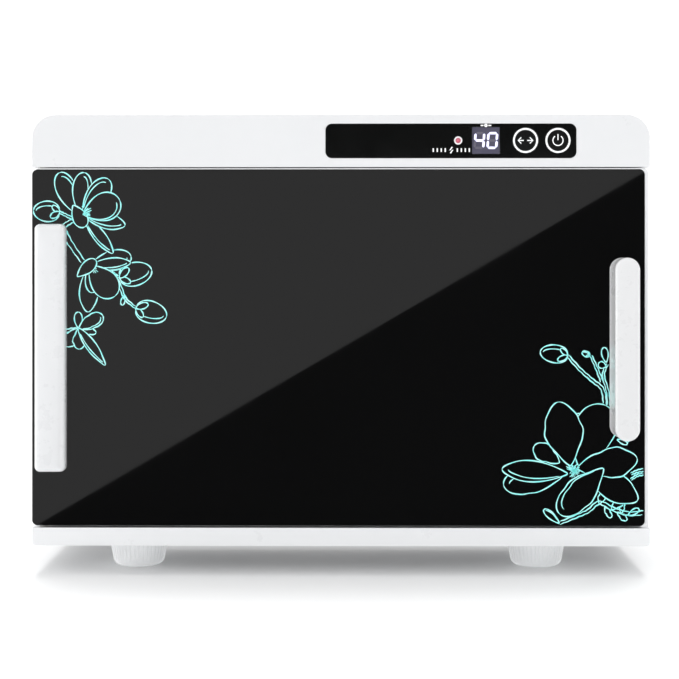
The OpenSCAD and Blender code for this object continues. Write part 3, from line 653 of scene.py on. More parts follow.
sprayLook = {
    "lineWidth": 0.86 * mm,
    "widthSpread": 0.22,     # how far the pen's width wanders
    "thickness": 0.05 * mm,
    "edgeMargin": 0.7 * mm,  # the print stops this far inside the glass
    "seed": 7,
}
inkLook = {
    "light": (0.50, 0.95, 0.91), "deep": (0.26, 0.88, 0.86), "patchScale": 210,
    "wear": 0.0, "dust": 0.0, "rough": (0.38, 0.5), "roughScale": 400,
    "grainScale": 2600, "grainDepth": 0.01 * mm,
    # the emission is painted light: the ink glows a little though it is only print
    "shader": {"Emission Color": (0.30, 0.9, 0.88, 1), "Emission Strength": 0.12},
}
glowingFlowerInk = makeFinish("glowingFlowerInk", inkLook)


def smoothLine(points, steps=8):
    # a smooth curve through given points
    line = []
    for index in range(len(points) - 1):
        before = points[max(index - 1, 0)]
        start, end = points[index], points[index + 1]
        after = points[min(index + 2, len(points) - 1)]
        for step in range(steps):
            t = step / steps
            line.append(tuple(0.5 * (2 * b + (c - a) * t + (2 * a - 5 * b + 4 * c - d) * t * t
                + (3 * b - a - 3 * c + d) * t ** 3) for a, b, c, d in zip(before, start, end, after)))
    line.append(tuple(points[-1]))
    return line


def insideShape(point, shape):
    x, z = point
    inside = False
    for index in range(len(shape)):
        x0, z0 = shape[index - 1]
        x1, z1 = shape[index]
        if (z0 > z) != (z1 > z) and x < (x1 - x0) * (z - z0) / (z1 - z0) + x0:
            inside = not inside
    return inside


class Drawing:
    # strokes in millimetres from a corner of the glass: u to the right, v down
    # what is drawn first lies in front and hides what is drawn later
    def __init__(self, cornerX, cornerZ, look):
        self.corner = (cornerX, cornerZ)
        self.look = look
        self.dice = random.Random(look["seed"])
        self.masks = []
        self.strokes = []

    def stroke(self, line, weight=1.0):
        run = []
        margin = self.look["edgeMargin"]
        for u, v in line:
            x = self.corner[0] + u * mm
            z = self.corner[1] - v * mm
            onGlass = (glassLow.x + margin < x < glassHigh.x - margin
                and glassLow.z + margin < z < glassHigh.z - margin)
            if onGlass and not any(insideShape((u, v), mask) for mask in self.masks):
                run.append((x, z))
                continue
            if len(run) > 2:
                self.strokes.append((run, weight))
            run = []
        if len(run) > 2:
            self.strokes.append((run, weight))

    def petal(self, base, angle, length, width, fold=0.0, ripple=0.0, full=1.25, blunt=0.45, tip=0.0,
            hides=True):
        # angle in degrees: 0 points right, 90 down; fold draws a turned edge on one side
        # full above 1 puts the widest place nearer the tip; blunt narrows the base
        turn = math.radians(angle)
        along = (math.cos(turn), math.sin(turn))
        across = (-along[1], along[0])
        phase = self.dice.random() * 6.28

        def side(sign, share, reach=1.0):
            line = []
            for step in range(37):
                t = (1 - math.cos(math.pi * step / 36)) / 2
                bulge = 1 - (2 * t ** full - 1) ** 2
                wide = width / 2 * share * max(0, bulge) ** 0.5 * (1 - blunt * (1 - t) ** 3)
                wave = math.sin(11 * t + phase) + 0.6 * t * math.sin(27 * t + 2 * phase)
                wide += ripple * wave * math.sin(math.pi * t)
                far = length * (t * reach + tip * max(0, 1 - (1 - t) / 0.12) ** 2)
                line.append((base[0] + along[0] * far + across[0] * sign * wide,
                    base[1] + along[1] * far + across[1] * sign * wide))
            return line

        left, right = side(-1, 1), side(1, 1)
        self.stroke(left)
        self.stroke(right)
        if fold:
            self.stroke(side(math.copysign(1, fold), 1 - abs(fold), 0.9)[9:], 0.85)
        if hides:
            self.masks.append(left + right[::-1])

    def bud(self, base, angle, length, width):
        self.petal(base, angle - 34, length * 0.4, width * 0.3, full=0.9)
        self.petal(base, angle + 38, length * 0.36, width * 0.26, full=0.9)
        self.petal(base, angle, length, width, fold=0.45, full=0.85, blunt=0)

    def twig(self, points, wide=2.4, narrow=1.4):
        line = smoothLine(points)
        last = len(line) - 1
        for sign in (-1, 1):
            rim = []
            for index, (u, v) in enumerate(line):
                ahead, behind = line[min(index + 1, last)], line[max(index - 1, 0)]
                du, dv = ahead[0] - behind[0], ahead[1] - behind[1]
                size = math.hypot(du, dv) or 1
                half = (wide + (narrow - wide) * index / last) / 2
                half += 0.18 * math.sin(1.7 * index + sign)
                rim.append((u - sign * dv / size * half, v + sign * du / size * half))
            self.stroke(rim)

    def stamens(self, centre, angle, spread, reach, count):
        for index in range(count):
            turn = math.radians(angle + spread * (index / (count - 1) - 0.5))
            far = reach * self.dice.uniform(0.6, 1)
            bend = self.dice.uniform(-0.6, 0.6)
            tip = (centre[0] + far * math.cos(turn), centre[1] + far * math.sin(turn))
            middle = ((centre[0] + tip[0]) / 2 + bend, (centre[1] + tip[1]) / 2 + bend)
            self.stroke(smoothLine([centre, middle, tip], 4), 0.8)

    def build(self, name):
        points, faces = [], []
        top = frontY - self.look["thickness"]
        for run, weight in self.strokes:
            phase = self.dice.random() * 6.28
            first = len(points)
            for index, (x, z) in enumerate(run):
                ahead, behind = run[min(index + 1, len(run) - 1)], run[max(index - 1, 0)]
                dx, dz = ahead[0] - behind[0], ahead[1] - behind[1]
                size = math.hypot(dx, dz) or 1
                ends = min(1, 0.45 + 0.3 * min(index, len(run) - 1 - index))
                pen = 1 + self.look["widthSpread"] * math.sin(0.45 * index + phase)
                half = self.look["lineWidth"] / 2 * weight * ends * pen
                offX, offZ = -dz / size * half, dx / size * half
                points += [(x + offX, frontY, z + offZ), (x + offX * 0.7, top, z + offZ * 0.7),
                    (x - offX * 0.7, top, z - offZ * 0.7), (x - offX, frontY, z - offZ)]
            for index in range(len(run) - 1):
                here, there = first + 4 * index, first + 4 * index + 4
                for edge in range(3):
                    faces.append((here + edge, here + edge + 1, there + edge + 1, there + edge))
        piece = addPiece(name, points, faces, glowingFlowerInk, "door", 80)
        return piece


def drawUpperSpray():
    art = Drawing(glassLow.x, glassHigh.z, sprayLook)
    # open blossom under the glass's upper edge
    heart = (37, 33)
    art.stamens(heart, -15, 70, 9, 7)
    art.petal((30, 26), 62, 18, 11)
    art.petal(heart, -20, 29, 21, fold=0.16)
    art.petal(heart, 14, 30, 12, fold=0.4, tip=0.06)
    art.petal(heart, 52, 33, 9, fold=0.35, tip=0.08)
    art.petal(heart, -54, 32, 16, fold=-0.3)
    art.petal((34, 31), -82, 29, 14, fold=0.35)
    art.petal((32, 32), -112, 32, 15, fold=0.25)
    art.twig([(30, 37), (25, 40), (19, 44)], 2.6, 3)
    art.bud((20, 31), 183, 19, 15)
    art.twig([(30, 36), (24, 33), (20, 31)], 1.8, 1.4)
    # hanging blossom and its twig
    heart = (42, 70)
    art.petal((33, 78), -42, 18, 9)
    art.stamens((43, 71), 50, 60, 7, 5)
    art.petal(heart, 50, 29, 20)
    art.petal(heart, -4, 28, 9, fold=0.4, tip=0.07)
    art.petal(heart, -12, 31, 15, fold=0.3)
    art.petal(heart, 84, 20, 9)
    art.petal(heart, 92, 32, 14, tip=0.06)
    art.twig([(23, 45), (28, 54), (37, 67)], 4.2, 3)
    # two buds on a bent twig
    art.bud((64, 79), -14, 24, 17)
    art.bud((76, 101), 16, 23, 16)
    art.twig([(46, 71), (57, 74), (63, 82), (68, 94), (76, 101)], 2.2, 1.4)
    art.twig([(57, 74), (61, 77), (65, 79)], 1.4, 1.2)
    art.petal((67, 92), 100, 7, 3)
    # small half blossom beside the hinge cover
    heart = (34, 116)
    art.petal(heart, 54, 29, 8, fold=0.4, full=0.9, tip=0.14)
    art.petal(heart, -28, 20, 11, fold=0.3, ripple=0.3)
    art.petal(heart, 88, 15, 9, ripple=0.4)
    art.petal(heart, 128, 16, 10, ripple=0.4)
    art.petal(heart, -92, 12, 6)
    art.petal(heart, 14, 13, 5, ripple=0.3)
    art.stamens(heart, 10, 110, 8, 6)
    art.twig([(22, 119), (28, 117), (34, 116)], 2.4, 1.6)
    return art.build("upperSpray")


def drawLowerSpray():
    art = Drawing(glassHigh.x, glassLow.z, {**sprayLook, "seed": sprayLook["seed"] + 4})
    # large open blossom
    heart = (-52, -40)
    art.stamens(heart, -60, 200, 6.5, 15)
    art.stamens(heart, 40, 200, 5, 11)
    art.petal((-53, -38), 22, 1, 1, hides=False)
    art.petal((-30, -42), 134, 46, 22, fold=0.2, ripple=0.6)
    art.petal((-49, -42), -9, 42, 22, ripple=0.8, tip=0.05)
    art.petal((-54, -44), -101, 44, 28, ripple=0.8, tip=0.07)
    art.stroke(smoothLine([(-53, -46), (-56, -57), (-59, -67)]), 0.8)
    art.petal((-56, -38), 184, 45, 16, fold=-0.35, tip=0.06)
    art.petal((-60, -36), 172, 43, 19, fold=0.5, ripple=0.4)
    art.petal((-48, -44), -66, 48, 31, ripple=0.3)
    art.petal((-42, -40), 30, 39, 21, tip=0.09)
    art.petal((-62, -46), 214, 22, 13, ripple=0.5)
    # bud on a long twig, and a forked twig above the blossom
    art.bud((-56, -124), 188, 20, 13)
    art.twig([(-56, -124), (-47, -114), (-38, -106), (-31, -100), (-29, -90), (-30, -84)], 1.8, 2.6)
    art.bud((-40, -124), 205, 6, 4)
    art.twig([(-39, -124), (-35, -115), (-31, -105)], 1.4, 2)
    art.petal((-28, -119), 262, 11, 5)
    art.petal((-28, -116), 200, 6, 5)
    art.twig([(-27, -118), (-30, -110), (-27, -98), (-26, -86)], 1.3, 2)
    art.petal((-44, -80), 190, 6, 2.4)
    # branch and small leaves under the blossom
    art.petal((-62, -2), 222, 15, 5, fold=0.3)
    art.twig([(-62, -2), (-50, -7), (-41, -11), (-33, -17), (-22, -12), (-11, -9), (0, -10)], 2.0, 2.8)
    art.petal((-33, -16), -70, 9, 5, ripple=0.3)
    art.petal((-24, -12), -48, 12, 7, ripple=0.4)
    art.petal((-17, -9), -84, 10, 4, ripple=0.3)
    art.petal((-12, -8), -30, 9, 4)
    art.petal((-29, -14), 60, 9, 4, ripple=0.3)
    art.petal((-20, -10), 40, 9, 4, ripple=0.3)
    art.twig([(-10, -38), (-5, -40), (0, -41)], 1.4, 2.2)
    art.twig([(-10, -34), (-5, -37), (0, -38)], 1.2, 1.6)
    art.petal((-20, -63), 24, 8, 3)
    art.petal((-14, -60), -60, 7, 3)
    return art.build("lowerSpray")


drawUpperSpray()
drawLowerSpray()
print("glass and its line flowers drawn")


# ---- door handle and hinge cover ----

handleLook = {
    "light": (0.79, 0.79, 0.795), "deep": (0.782, 0.782, 0.787), "patchScale": 16,
    "worn": (0.84, 0.84, 0.84), "wearWidth": 0.8 * mm, "wear": 0.12,
    "dust": 0.0, "rough": (0.26, 0.31), "roughScale": 60,
    "grainScale": 2100, "grainDepth": 0.004 * mm,
    "shader": {"Coat Weight": 0.5, "Coat Roughness": 0.08},
    # distance out of the glass, and how far the side is drawn in there, in millimetres
    "profile": [(0, 0.25), (0.5, 0), (1.6, 0), (2.4, 0.35), (7, 0.75), (14, 1.05), (19.6, 1.1), (20.4, 0.7),
        (21, 0.15), (21.6, 0), (22.6, 0.08), (23.3, 0.45), (23.75, 1.05), (23.95, 1.8), (24, 2.7)],
}
coverLook = {
    **handleLook,
    "light": (0.785, 0.79, 0.80), "deep": (0.777, 0.782, 0.792),
    "cornerRadius": 4,
    "profile": [(0, 0.3), (0.4, 0), (4.6, 0), (6.2, 0.12), (7.3, 0.5), (8.2, 1.3), (8.8, 2.6), (9.2, 4.6),
        (9.42, 7), (9.5, 9.4)],
}


def buildGrip(name, nodeName, look, cornerRadius):
    low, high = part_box(nodeName)
    centre = ((low.x + high.x) / 2, (low.z + high.z) / 2)
    halfWidth = (high.x - low.x) / 2
    halfHeight = (high.z - low.z) / 2
    loops = []
    for out, inset in look["profile"]:
        radius = max(cornerRadius - inset * mm, 0.6 * mm)
        loops.append(roundedLoop(centre, halfWidth - inset * mm, halfHeight - inset * mm, radius,
            frontY - out * mm, 16))
    points, faces = loft(loops)
    piece = addPiece(name, points, faces, makeFinish(name + "Plastic", look), "door", 50)
    faceOutwards(piece)
    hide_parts(nodeName)
    piece.visible_glossy = False     # the black glass beside it stays clear of its reflection
    return piece


handleLow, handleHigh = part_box("door_handle")
buildGrip("doorHandle", "door_handle", handleLook, (handleHigh.x - handleLow.x) / 2)
buildGrip("hingeCover", "hinge_cover", coverLook, coverLook["cornerRadius"] * mm)
print("handle and hinge cover built")


# ---- control panel ----

panelLook = {
    "light": (0.0028, 0.0030, 0.0029), "deep": (0.0036, 0.0038, 0.0037), "patchScale": 30,
    "worn": (0.25, 0.25, 0.26), "wearWidth": 0.35 * mm, "wear": 0.8, "breakup": 40,
    "dust": 0.0, "rough": (0.05, 0.09), "roughScale": 60,
    "grainScale": 1600, "grainDepth": 0.0015 * mm,
}
keyLook = {**panelLook, "rough": (0.2, 0.28), "grainDepth": 0.008 * mm}
panelBlack = makeFinish("panelBlack", panelLook)
keyBlack = makeFinish("keyBlack", keyLook)
dressNodes(panelBlack, "panel_insert")
softenEdges("panel_insert", 0.3 * mm, 3)
dressNodes(keyBlack, "select_key", "power_key")
for nodeName in ("select_key", "power_key"):
    softenEdges(nodeName, 0.2 * mm, 2)

printLook = {
    "light": (0.94, 0.94, 0.95), "deep": (0.90, 0.90, 0.91), "patchScale": 300,
    "wear": 0.0, "dust": 0.0, "rough": (0.4, 0.5), "grainScale": 2600, "grainDepth": 0.006 * mm,
    # the emission is painted light: the white print glows a little though it is only print
    "shader": {"Emission Color": (1, 1, 1, 1), "Emission Strength": 0.08},
    "ringWidth": 1.4 * mm,
    "iconLine": 0.8 * mm,
    "markLine": 1.0 * mm,
    "thickness": 0.04 * mm,
}
glowingWhitePrint = makeFinish("glowingWhitePrint", printLook)


def arcLine(centre, radius, start, end, steps=48):
    line = []
    for step in range(steps + 1):
        angle = math.radians(start + (end - start) * step / steps)
        line.append((centre[0] + radius * math.cos(angle), centre[1] + radius * math.sin(angle)))
    return line


def buildPrint(name, lines, width, body, y, material):
    # flat printed lines, each a list of (x, z) in metres
    points, faces = [], []
    top = y - printLook["thickness"]
    for line in lines:
        closed = math.dist(line[0], line[-1]) < 0.01 * mm
        first = len(points)
        last = len(line) - 1
        for index, (x, z) in enumerate(line):
            ahead = line[1] if closed and index == last else line[min(index + 1, last)]
            behind = line[-2] if closed and index == 0 else line[max(index - 1, 0)]
            dx, dz = ahead[0] - behind[0], ahead[1] - behind[1]
            size = math.hypot(dx, dz)
            offX, offZ = -dz / size * width / 2, dx / size * width / 2
            points += [(x + offX, y, z + offZ), (x + offX * 0.92, top, z + offZ * 0.92),
                (x - offX * 0.92, top, z - offZ * 0.92), (x - offX, y, z - offZ)]
        for index in range(last):
            here, there = first + 4 * index, first + 4 * index + 4
            for edge in range(3):
                faces.append((here + edge, here + edge + 1, there + edge + 1, there + edge))
    return addPiece(name, points, faces, material, body, 60)


def boxCentre(nodeName):
    low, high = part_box(nodeName)
    return (low + high) / 2


def buildKeyPrint(nodeName, name, icon):
    centre = boxCentre(nodeName)
    middle = (centre.x, centre.z)
    low, high = solidFace(nodeName)
    radius = (high - low) / 2 - printLook["ringWidth"] * 0.62
    buildPrint(name + "Ring", [arcLine(middle, radius, 0, 360, 96)], printLook["ringWidth"], nodeName,
        frontY, glowingWhitePrint)
    buildPrint(name + "Icon", icon(middle), printLook["iconLine"], nodeName, frontY, glowingWhitePrint)


def solidFace(nodeName):
    # how far a node's front face reaches in X
    reach = [v.co.x for v in cadNodes[nodeName].data.vertices if abs(v.co.y - frontY) < 0.01 * mm]
    return min(reach), max(reach)


def powerIcon(middle):
    # the usual mark for on and off: a broken circle and a stroke
    x, z = middle
    return [arcLine(middle, 3.7 * mm, 125, 415), [(x, z + 0.2 * mm), (x, z + 2.3 * mm), (x, z + 4.6 * mm)]]


def stepIcon(middle):
    # an arrow to each side, for stepping through the settings
    x, z = middle
    lines = []
    for side in (-1, 1):
        lines.append([(x + side * 3.1 * mm, z + 2.2 * mm), (x + side * 5.4 * mm, z),
            (x + side * 3.1 * mm, z - 2.2 * mm)])
        lines.append([(x + side * 1.2 * mm, z), (x + side * 3.2 * mm, z), (x + side * 5 * mm, z)])
    return lines


buildKeyPrint("select_key", "selectKey", stepIcon)
buildKeyPrint("power_key", "powerKey", powerIcon)

lampCentre = boxCentre("lamp_bezel")
displayLow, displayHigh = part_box("led_display")
displayCentre = (displayLow + displayHigh) / 2
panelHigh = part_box("panel_insert")[1]


def buildPanelMarks():
    # a spark between two dashes under the lamp, and a small clock face over the display
    x = lampCentre.x - 5 * mm
    z = lampCentre.z - 7 * mm
    lines = [[(x + 0.7 * mm, z + 2.3 * mm), (x - 1.1 * mm, z - 0.2 * mm), (x + 1.1 * mm, z + 0.2 * mm),
        (x - 0.7 * mm, z - 2.3 * mm)]]
    for side in (-1, 1):
        for step in range(4):
            at = x + side * (4.4 + 2.9 * step) * mm
            half = 1.35 * mm
            lines.append([(at, z - half), (at, z), (at, z + half)])
    middle = (displayCentre.x, (displayHigh.z + panelHigh.z) / 2)
    lines.append(arcLine(middle, 0.75 * mm, 0, 360, 24))
    for side in (-1, 1):
        lines.append([(middle[0] + side * 1.7 * mm, middle[1]), (middle[0] + side * 3.9 * mm, middle[1])])
    buildPrint("panelMarks", lines, printLook["markLine"], "cabinet", frontY, glowingWhitePrint)


buildPanelMarks()


# ---- lamp and display ----

lensLook = {
    "light": (0.60, 0.13, 0.19), "deep": (0.48, 0.08, 0.13), "patchScale": 700,
    "wear": 0.0, "dust": 0.0, "rough": (0.08, 0.14), "grainScale": 900, "grainDepth": 0.01 * mm,
    "shader": {"Emission Color": (0.9, 0.12, 0.2, 1), "Emission Strength": 0.06, "Coat Weight": 0.5},
}
bezelLook = {**mouldingLook, "light": (0.92, 0.90, 0.91), "deep": (0.88, 0.86, 0.87), "shader": {}}
windowLook = {
    "light": (0.098, 0.092, 0.135), "deep": (0.080, 0.075, 0.115), "patchScale": 60,
    "worn": (0.2, 0.19, 0.26), "wear": 0.4, "dust": 0.0, "rough": (0.16, 0.24),
    "grainScale": 3000, "grainDepth": 0.004 * mm,
}
digitLook = {
    "slant": 0.07,
    "height": 12.4 * mm, "width": 6.3 * mm, "bar": 1.75 * mm, "gap": 0.16 * mm,
    "pitch": 9.4 * mm,
    "lit": {
        "light": (0.80, 0.78, 0.98), "deep": (0.72, 0.70, 0.95), "patchScale": 500,
        "wear": 0.0, "dust": 0.0, "rough": (0.3, 0.4),
        "shader": {"Emission Color": (0.76, 0.74, 1.0, 1), "Emission Strength": 0.62},
    },
    "unlit": {
        "light": (0.135, 0.128, 0.165), "deep": (0.12, 0.112, 0.15), "patchScale": 500,
        "wear": 0.0, "dust": 0.0, "rough": (0.3, 0.4),
    },
}
dressNodes(makeFinish("lampLens", lensLook), "lamp_lens")
dressNodes(makeFinish("lampBezel", bezelLook), "lamp_bezel")
softenEdges("lamp_bezel", 0.2 * mm, 2)
dressNodes(makeFinish("displayWindow", windowLook), "led_display")
litSegment = makeFinish("litSegment", digitLook["lit"])
unlitSegment = makeFinish("unlitSegment", digitLook["unlit"])


def segmentShapes(centreX, centreZ):
    # seven mitred bars: top, upper right, lower right, bottom, lower left, upper left, middle
    look = digitLook
    half, rise, bar, gap = look["width"] / 2, look["height"] / 2, look["bar"] / 2, look["gap"]
    inner = rise - bar
    ends = [
        ((-half, inner), (half, inner)), ((half, inner), (half, 0)), ((half, 0), (half, -inner)),
        ((-half, -inner), (half, -inner)), ((-half, 0), (-half, -inner)), ((-half, inner), (-half, 0)),
        ((-half, 0), (half, 0)),
    ]
    shapes = []
    for (x0, z0), (x1, z1) in ends:
        length = math.hypot(x1 - x0, z1 - z0)
        ux, uz = (x1 - x0) / length, (z1 - z0) / length
        nx, nz = -uz, ux
        outline = []
        for along, across in ((gap, 0), (gap + bar, bar), (length - gap - bar, bar), (length - gap, 0),
                (length - gap - bar, -bar), (gap + bar, -bar)):
            x = x0 + ux * along + nx * across
            z = z0 + uz * along + nz * across
            outline.append((centreX + x + look["slant"] * z, centreZ + z))
        shapes.append(outline)
    return shapes


def buildSegments(name, shapes, material, y, thickness):
    points, faces = [], []
    for outline in shapes:
        first = len(points)
        count = len(outline)
        points += [(x, y, z) for x, z in outline] + [(x, y - thickness, z) for x, z in outline]
        faces.append(tuple(first + count + index for index in range(count)))
        for index in range(count):
            ahead = (index + 1) % count
            faces.append((first + index, first + ahead, first + count + ahead, first + count + index))
    piece = addPiece(name, points, faces, material, "cabinet")
    faceOutwards(piece)
    return piece


litPattern = {"4": (1, 2, 5, 6), "0": (0, 1, 2, 3, 4, 5)}
litShapes, unlitShapes = [], []
for sign, digit in ((-1, "4"), (1, "0")):
    allShapes = segmentShapes(displayCentre.x + sign * digitLook["pitch"] / 2, displayCentre.z)
    for index, outline in enumerate(allShapes):
        (litShapes if index in litPattern[digit] else unlitShapes).append(outline)
digitsLow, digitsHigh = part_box("display_digits")
litDigits = buildSegments("litDigits", litShapes, litSegment, digitsHigh.y, digitsHigh.y - digitsLow.y)
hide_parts("display_digits")
buildSegments("unlitDigits", unlitShapes, unlitSegment, digitsHigh.y, (digitsHigh.y - digitsLow.y) / 3)
print("panel, keys, lamp and display ready")


# ---- feet ----

footLook = {
    # the near-white colour is raised above the mouldings' white as painted light, brightening the feet in the
    # shadow under the cabinet
    "light": (0.97, 0.975, 0.98), "deep": (0.94, 0.955, 0.965), "patchScale": 40,
    "worn": (0.9, 0.9, 0.9), "wearWidth": 0.6 * mm, "wear": 0.1,
    "dust": 0.0, "rough": (0.16, 0.22), "roughScale": 70,
    "grainScale": 1500, "grainDepth": 0.008 * mm,
    # the emission is painted light: the feet glow a little though they are no lamp
    "shader": {"Subsurface Weight": 0.12, "Subsurface Radius": (0.01, 0.01, 0.01), "Coat Weight": 0.5,
        "Emission Color": (0.93, 0.97, 1, 1), "Emission Strength": 0.07},
    "lowRadius": 19.4 * mm,
    "edgeRadius": 5 * mm,
    "flutes": 40,
    "fluteDepth": 0.4 * mm,
    "hollowRadius": 6.5 * mm,
    "hollowHeight": 12 * mm,
}
footGlowPlastic = makeFinish("footGlowPlastic", footLook)


def buildFoot(nodeName):
    low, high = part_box(nodeName)
    centre = (low + high) / 2
    topRadius = (high.x - low.x) / 2
    top = shellLow.z
    edge = footLook["edgeRadius"]
    lowRadius = footLook["lowRadius"]
    hollow = footLook["hollowRadius"]
    profile = [(0.3 * mm, footLook["hollowHeight"]), (hollow, footLook["hollowHeight"]), (hollow, 0)]
    profile += [
        (lowRadius - edge + edge * math.sin(math.radians(turn)), edge - edge * math.cos(math.radians(turn)))
        for turn in range(0, 81, 10)]
    start, height = profile[-1]
    for step in range(1, 9):
        share = step / 8
        flankRadius = start + (topRadius - 0.15 * mm - start) * share
        profile.append((flankRadius, height + (top - 0.8 * mm - height) * share))
    profile += [(topRadius - 0.45 * mm, top - 0.25 * mm), (topRadius - 0.9 * mm, top)]
    around = footLook["flutes"] * 8
    loops = []
    for radius, z in profile:
        shown = max(0, min(1, (z - 3 * mm) / (4 * mm))) * max(0, min(1, (top - 1.5 * mm - z) / (3 * mm)))
        shown = shown if radius > hollow + mm else 0
        loop = []
        for step in range(around):
            angle = 2 * math.pi * step / around
            groove = max(0, math.cos(footLook["flutes"] * angle)) ** 2
            here = radius - footLook["fluteDepth"] * groove * shown
            loop.append(Vector((centre.x + here * math.cos(angle), centre.y + here * math.sin(angle), z)))
        loops.append(loop)
    points, faces = loft(loops)
    name = nodeName.title().replace("_", "")
    piece = addPiece(name[0].lower() + name[1:], points, faces, footGlowPlastic, "cabinet", 50)
    faceOutwards(piece)
    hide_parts(nodeName)


for nodeName in ("foot_front_left", "foot_front_right", "foot_rear_left", "foot_rear_right"):
    buildFoot(nodeName)
print("feet built")


# ---- door seal ----

sealLook = {
    "light": (0.60, 0.60, 0.61), "deep": (0.53, 0.53, 0.54), "patchScale": 60,
    "worn": (0.66, 0.66, 0.67), "wear": 0.2, "dust": 0.06, "rough": (0.5, 0.62),
    "grainScale": 900, "grainDepth": 0.02 * mm,
    "cornerRadius": 16 * mm,
    # how far in from the outer edge, and how far off the door, in millimetres
    "profile": [(0, 0), (0, 0.7), (1, 0.9), (1.3, 1.9), (2.1, 2.7), (3.4, 3), (4.6, 3), (5.9, 2.7),
        (6.7, 1.9), (7, 0.9), (8, 0.7), (8, 0)],
}


def buildSeal():
    low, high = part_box("door_gasket")
    centre = ((low.x + high.x) / 2, (low.z + high.z) / 2)
    loops = []
    for inset, off in sealLook["profile"]:
        loops.append(roundedLoop(centre, (high.x - low.x) / 2 - inset * mm, (high.z - low.z) / 2 - inset * mm,
            sealLook["cornerRadius"] - inset * mm, low.y + off * mm, 12))
    points, faces = loft(loops, False, False, True)
    seal = addPiece("doorSeal", points, faces, makeFinish("sealSilicone", sealLook), "door")
    faceOutwards(seal)
    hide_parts("door_gasket")


buildSeal()


# ---- screws with cross recesses ----

zincLook = {
    "light": (0.66, 0.66, 0.68), "deep": (0.52, 0.52, 0.54), "patchScale": 300,
    "worn": (0.8, 0.8, 0.8), "wearWidth": 0.3 * mm, "wear": 0.5, "dust": 0.05,
    "rough": (0.26, 0.42), "roughScale": 220, "grainScale": 1500, "grainDepth": 0.01 * mm,
    "shader": {"Metallic": 1.0},
}
zincSteel = makeFinish("zincSteel", zincLook)
screwLook = {
    "headRise": 0.45, "recessArm": 0.16, "recessReach": 0.55, "recessDepth": 0.55,
    "rings": 14, "around": 48,
}


def buildScrews(name, nodeName, body, facing):
    # facing is the side in Y that the heads look to
    points, faces = [], []
    look = screwLook
    for low, high in solidBoxes(nodeName):
        centreX, centreZ = (low.x + high.x) / 2, (low.z + high.z) / 2
        headRadius = (high.x - low.x) / 2
        outer = high.y if facing > 0 else low.y
        inner = low.y if facing > 0 else high.y
        seat = outer - facing * 1.4 * mm
        first = len(points)
        points.append((centreX, outer - facing * look["recessDepth"] * 1.4 * mm, centreZ))
        for ring in range(1, look["rings"] + 1):
            share = ring / look["rings"]
            for step in range(look["around"]):
                angle = 2 * math.pi * step / look["around"]
                x, z = share * math.cos(angle), share * math.sin(angle)
                fall = look["headRise"] * 1.4 * mm * share ** 3
                inArm = min(abs(x), abs(z)) < look["recessArm"] and max(abs(x), abs(z)) < look["recessReach"]
                if inArm:
                    fall = max(fall, look["recessDepth"] * 1.4 * mm)
                points.append((centreX + headRadius * x, outer - facing * fall, centreZ + headRadius * z))
        count = look["around"]
        last = first + 1 + (look["rings"] - 1) * count
        for step in range(count):
            ahead = (step + 1) % count
            faces.append((first, first + 1 + step, first + 1 + ahead))
            for ring in range(look["rings"] - 1):
                here = first + 1 + ring * count
                faces.append((here + step, here + count + step, here + count + ahead, here + ahead))
        skirt = len(points)
        shank = 0.42 * headRadius
        for radius, y in ((headRadius, seat), (shank, seat), (shank, inner)):
            for step in range(count):
                angle = 2 * math.pi * step / count
                points.append((centreX + radius * math.cos(angle), y, centreZ + radius * math.sin(angle)))
        for row, start in enumerate((last, skirt, skirt + count)):
            following = skirt + row * count
            for step in range(count):
                ahead = (step + 1) % count
                faces.append((start + step, following + step, following + ahead, start + ahead))
    piece = addPiece(name, points, faces, zincSteel, body, 30)
    faceOutwards(piece)
    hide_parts(nodeName)


buildScrews("rearScrews", "casing_screws", "cabinet", 1)
buildScrews("linerScrews", "door_liner_screws", "door", 1)
print("seal and screws built")


# ---- metal inside: liner, tray, racks and fixings ----

linerLook = {
    "light": (0.80, 0.80, 0.81), "deep": (0.70, 0.70, 0.715), "patchScale": 12,
    "worn": (0.9, 0.9, 0.9), "wear": 0.4, "dust": 0.04, "rough": (0.26, 0.4), "roughScale": 40,
    "grainScale": 420, "stretch": (0.05, 1, 1), "grainDepth": 0.012 * mm,
    "shader": {"Metallic": 0.95},
}
trayLook = {**linerLook, "rough": (0.2, 0.32), "stretch": (1, 0.06, 1), "deep": (0.74, 0.74, 0.75)}
wireLook = {
    "light": (0.86, 0.86, 0.87), "deep": (0.76, 0.76, 0.78), "patchScale": 90,
    "worn": (0.92, 0.92, 0.92), "wear": 0.2, "dust": 0.03, "rough": (0.10, 0.22), "roughScale": 160,
    "grainScale": 900, "grainDepth": 0.006 * mm, "shader": {"Metallic": 1.0},
}
brassLook = {**zincLook, "light": (0.80, 0.60, 0.28), "deep": (0.66, 0.46, 0.20), "worn": (0.9, 0.75, 0.45)}
linerMetal = makeFinish("linerAluminium", linerLook)
dressNodes(linerMetal, "chamber_liner", "door_liner")
dressNodes(makeFinish("trayAluminium", trayLook), "drip_tray")
dressNodes(makeFinish("brightWire", wireLook), "wire_rack_upper", "wire_rack_lower", "uv_lamp_guard")
dressNodes(zincSteel, "rack_rails", "hinge_strip", "hinge_pins", "hinge_screws", "handle_screws",
    "strike_plate", "foot_screws", "uv_lamp_caps", "component_tray")
dressNodes(makeFinish("brass", brassLook), "board_standoffs", "inlet_pins")
for nodeName, width in (("chamber_liner", 0.4), ("door_liner", 0.4), ("drip_tray", 0.35),
        ("rack_rails", 0.25), ("strike_plate", 0.3), ("component_tray", 0.3)):
    softenEdges(nodeName, width * mm, 2)


# ---- black and white plastic fittings ----

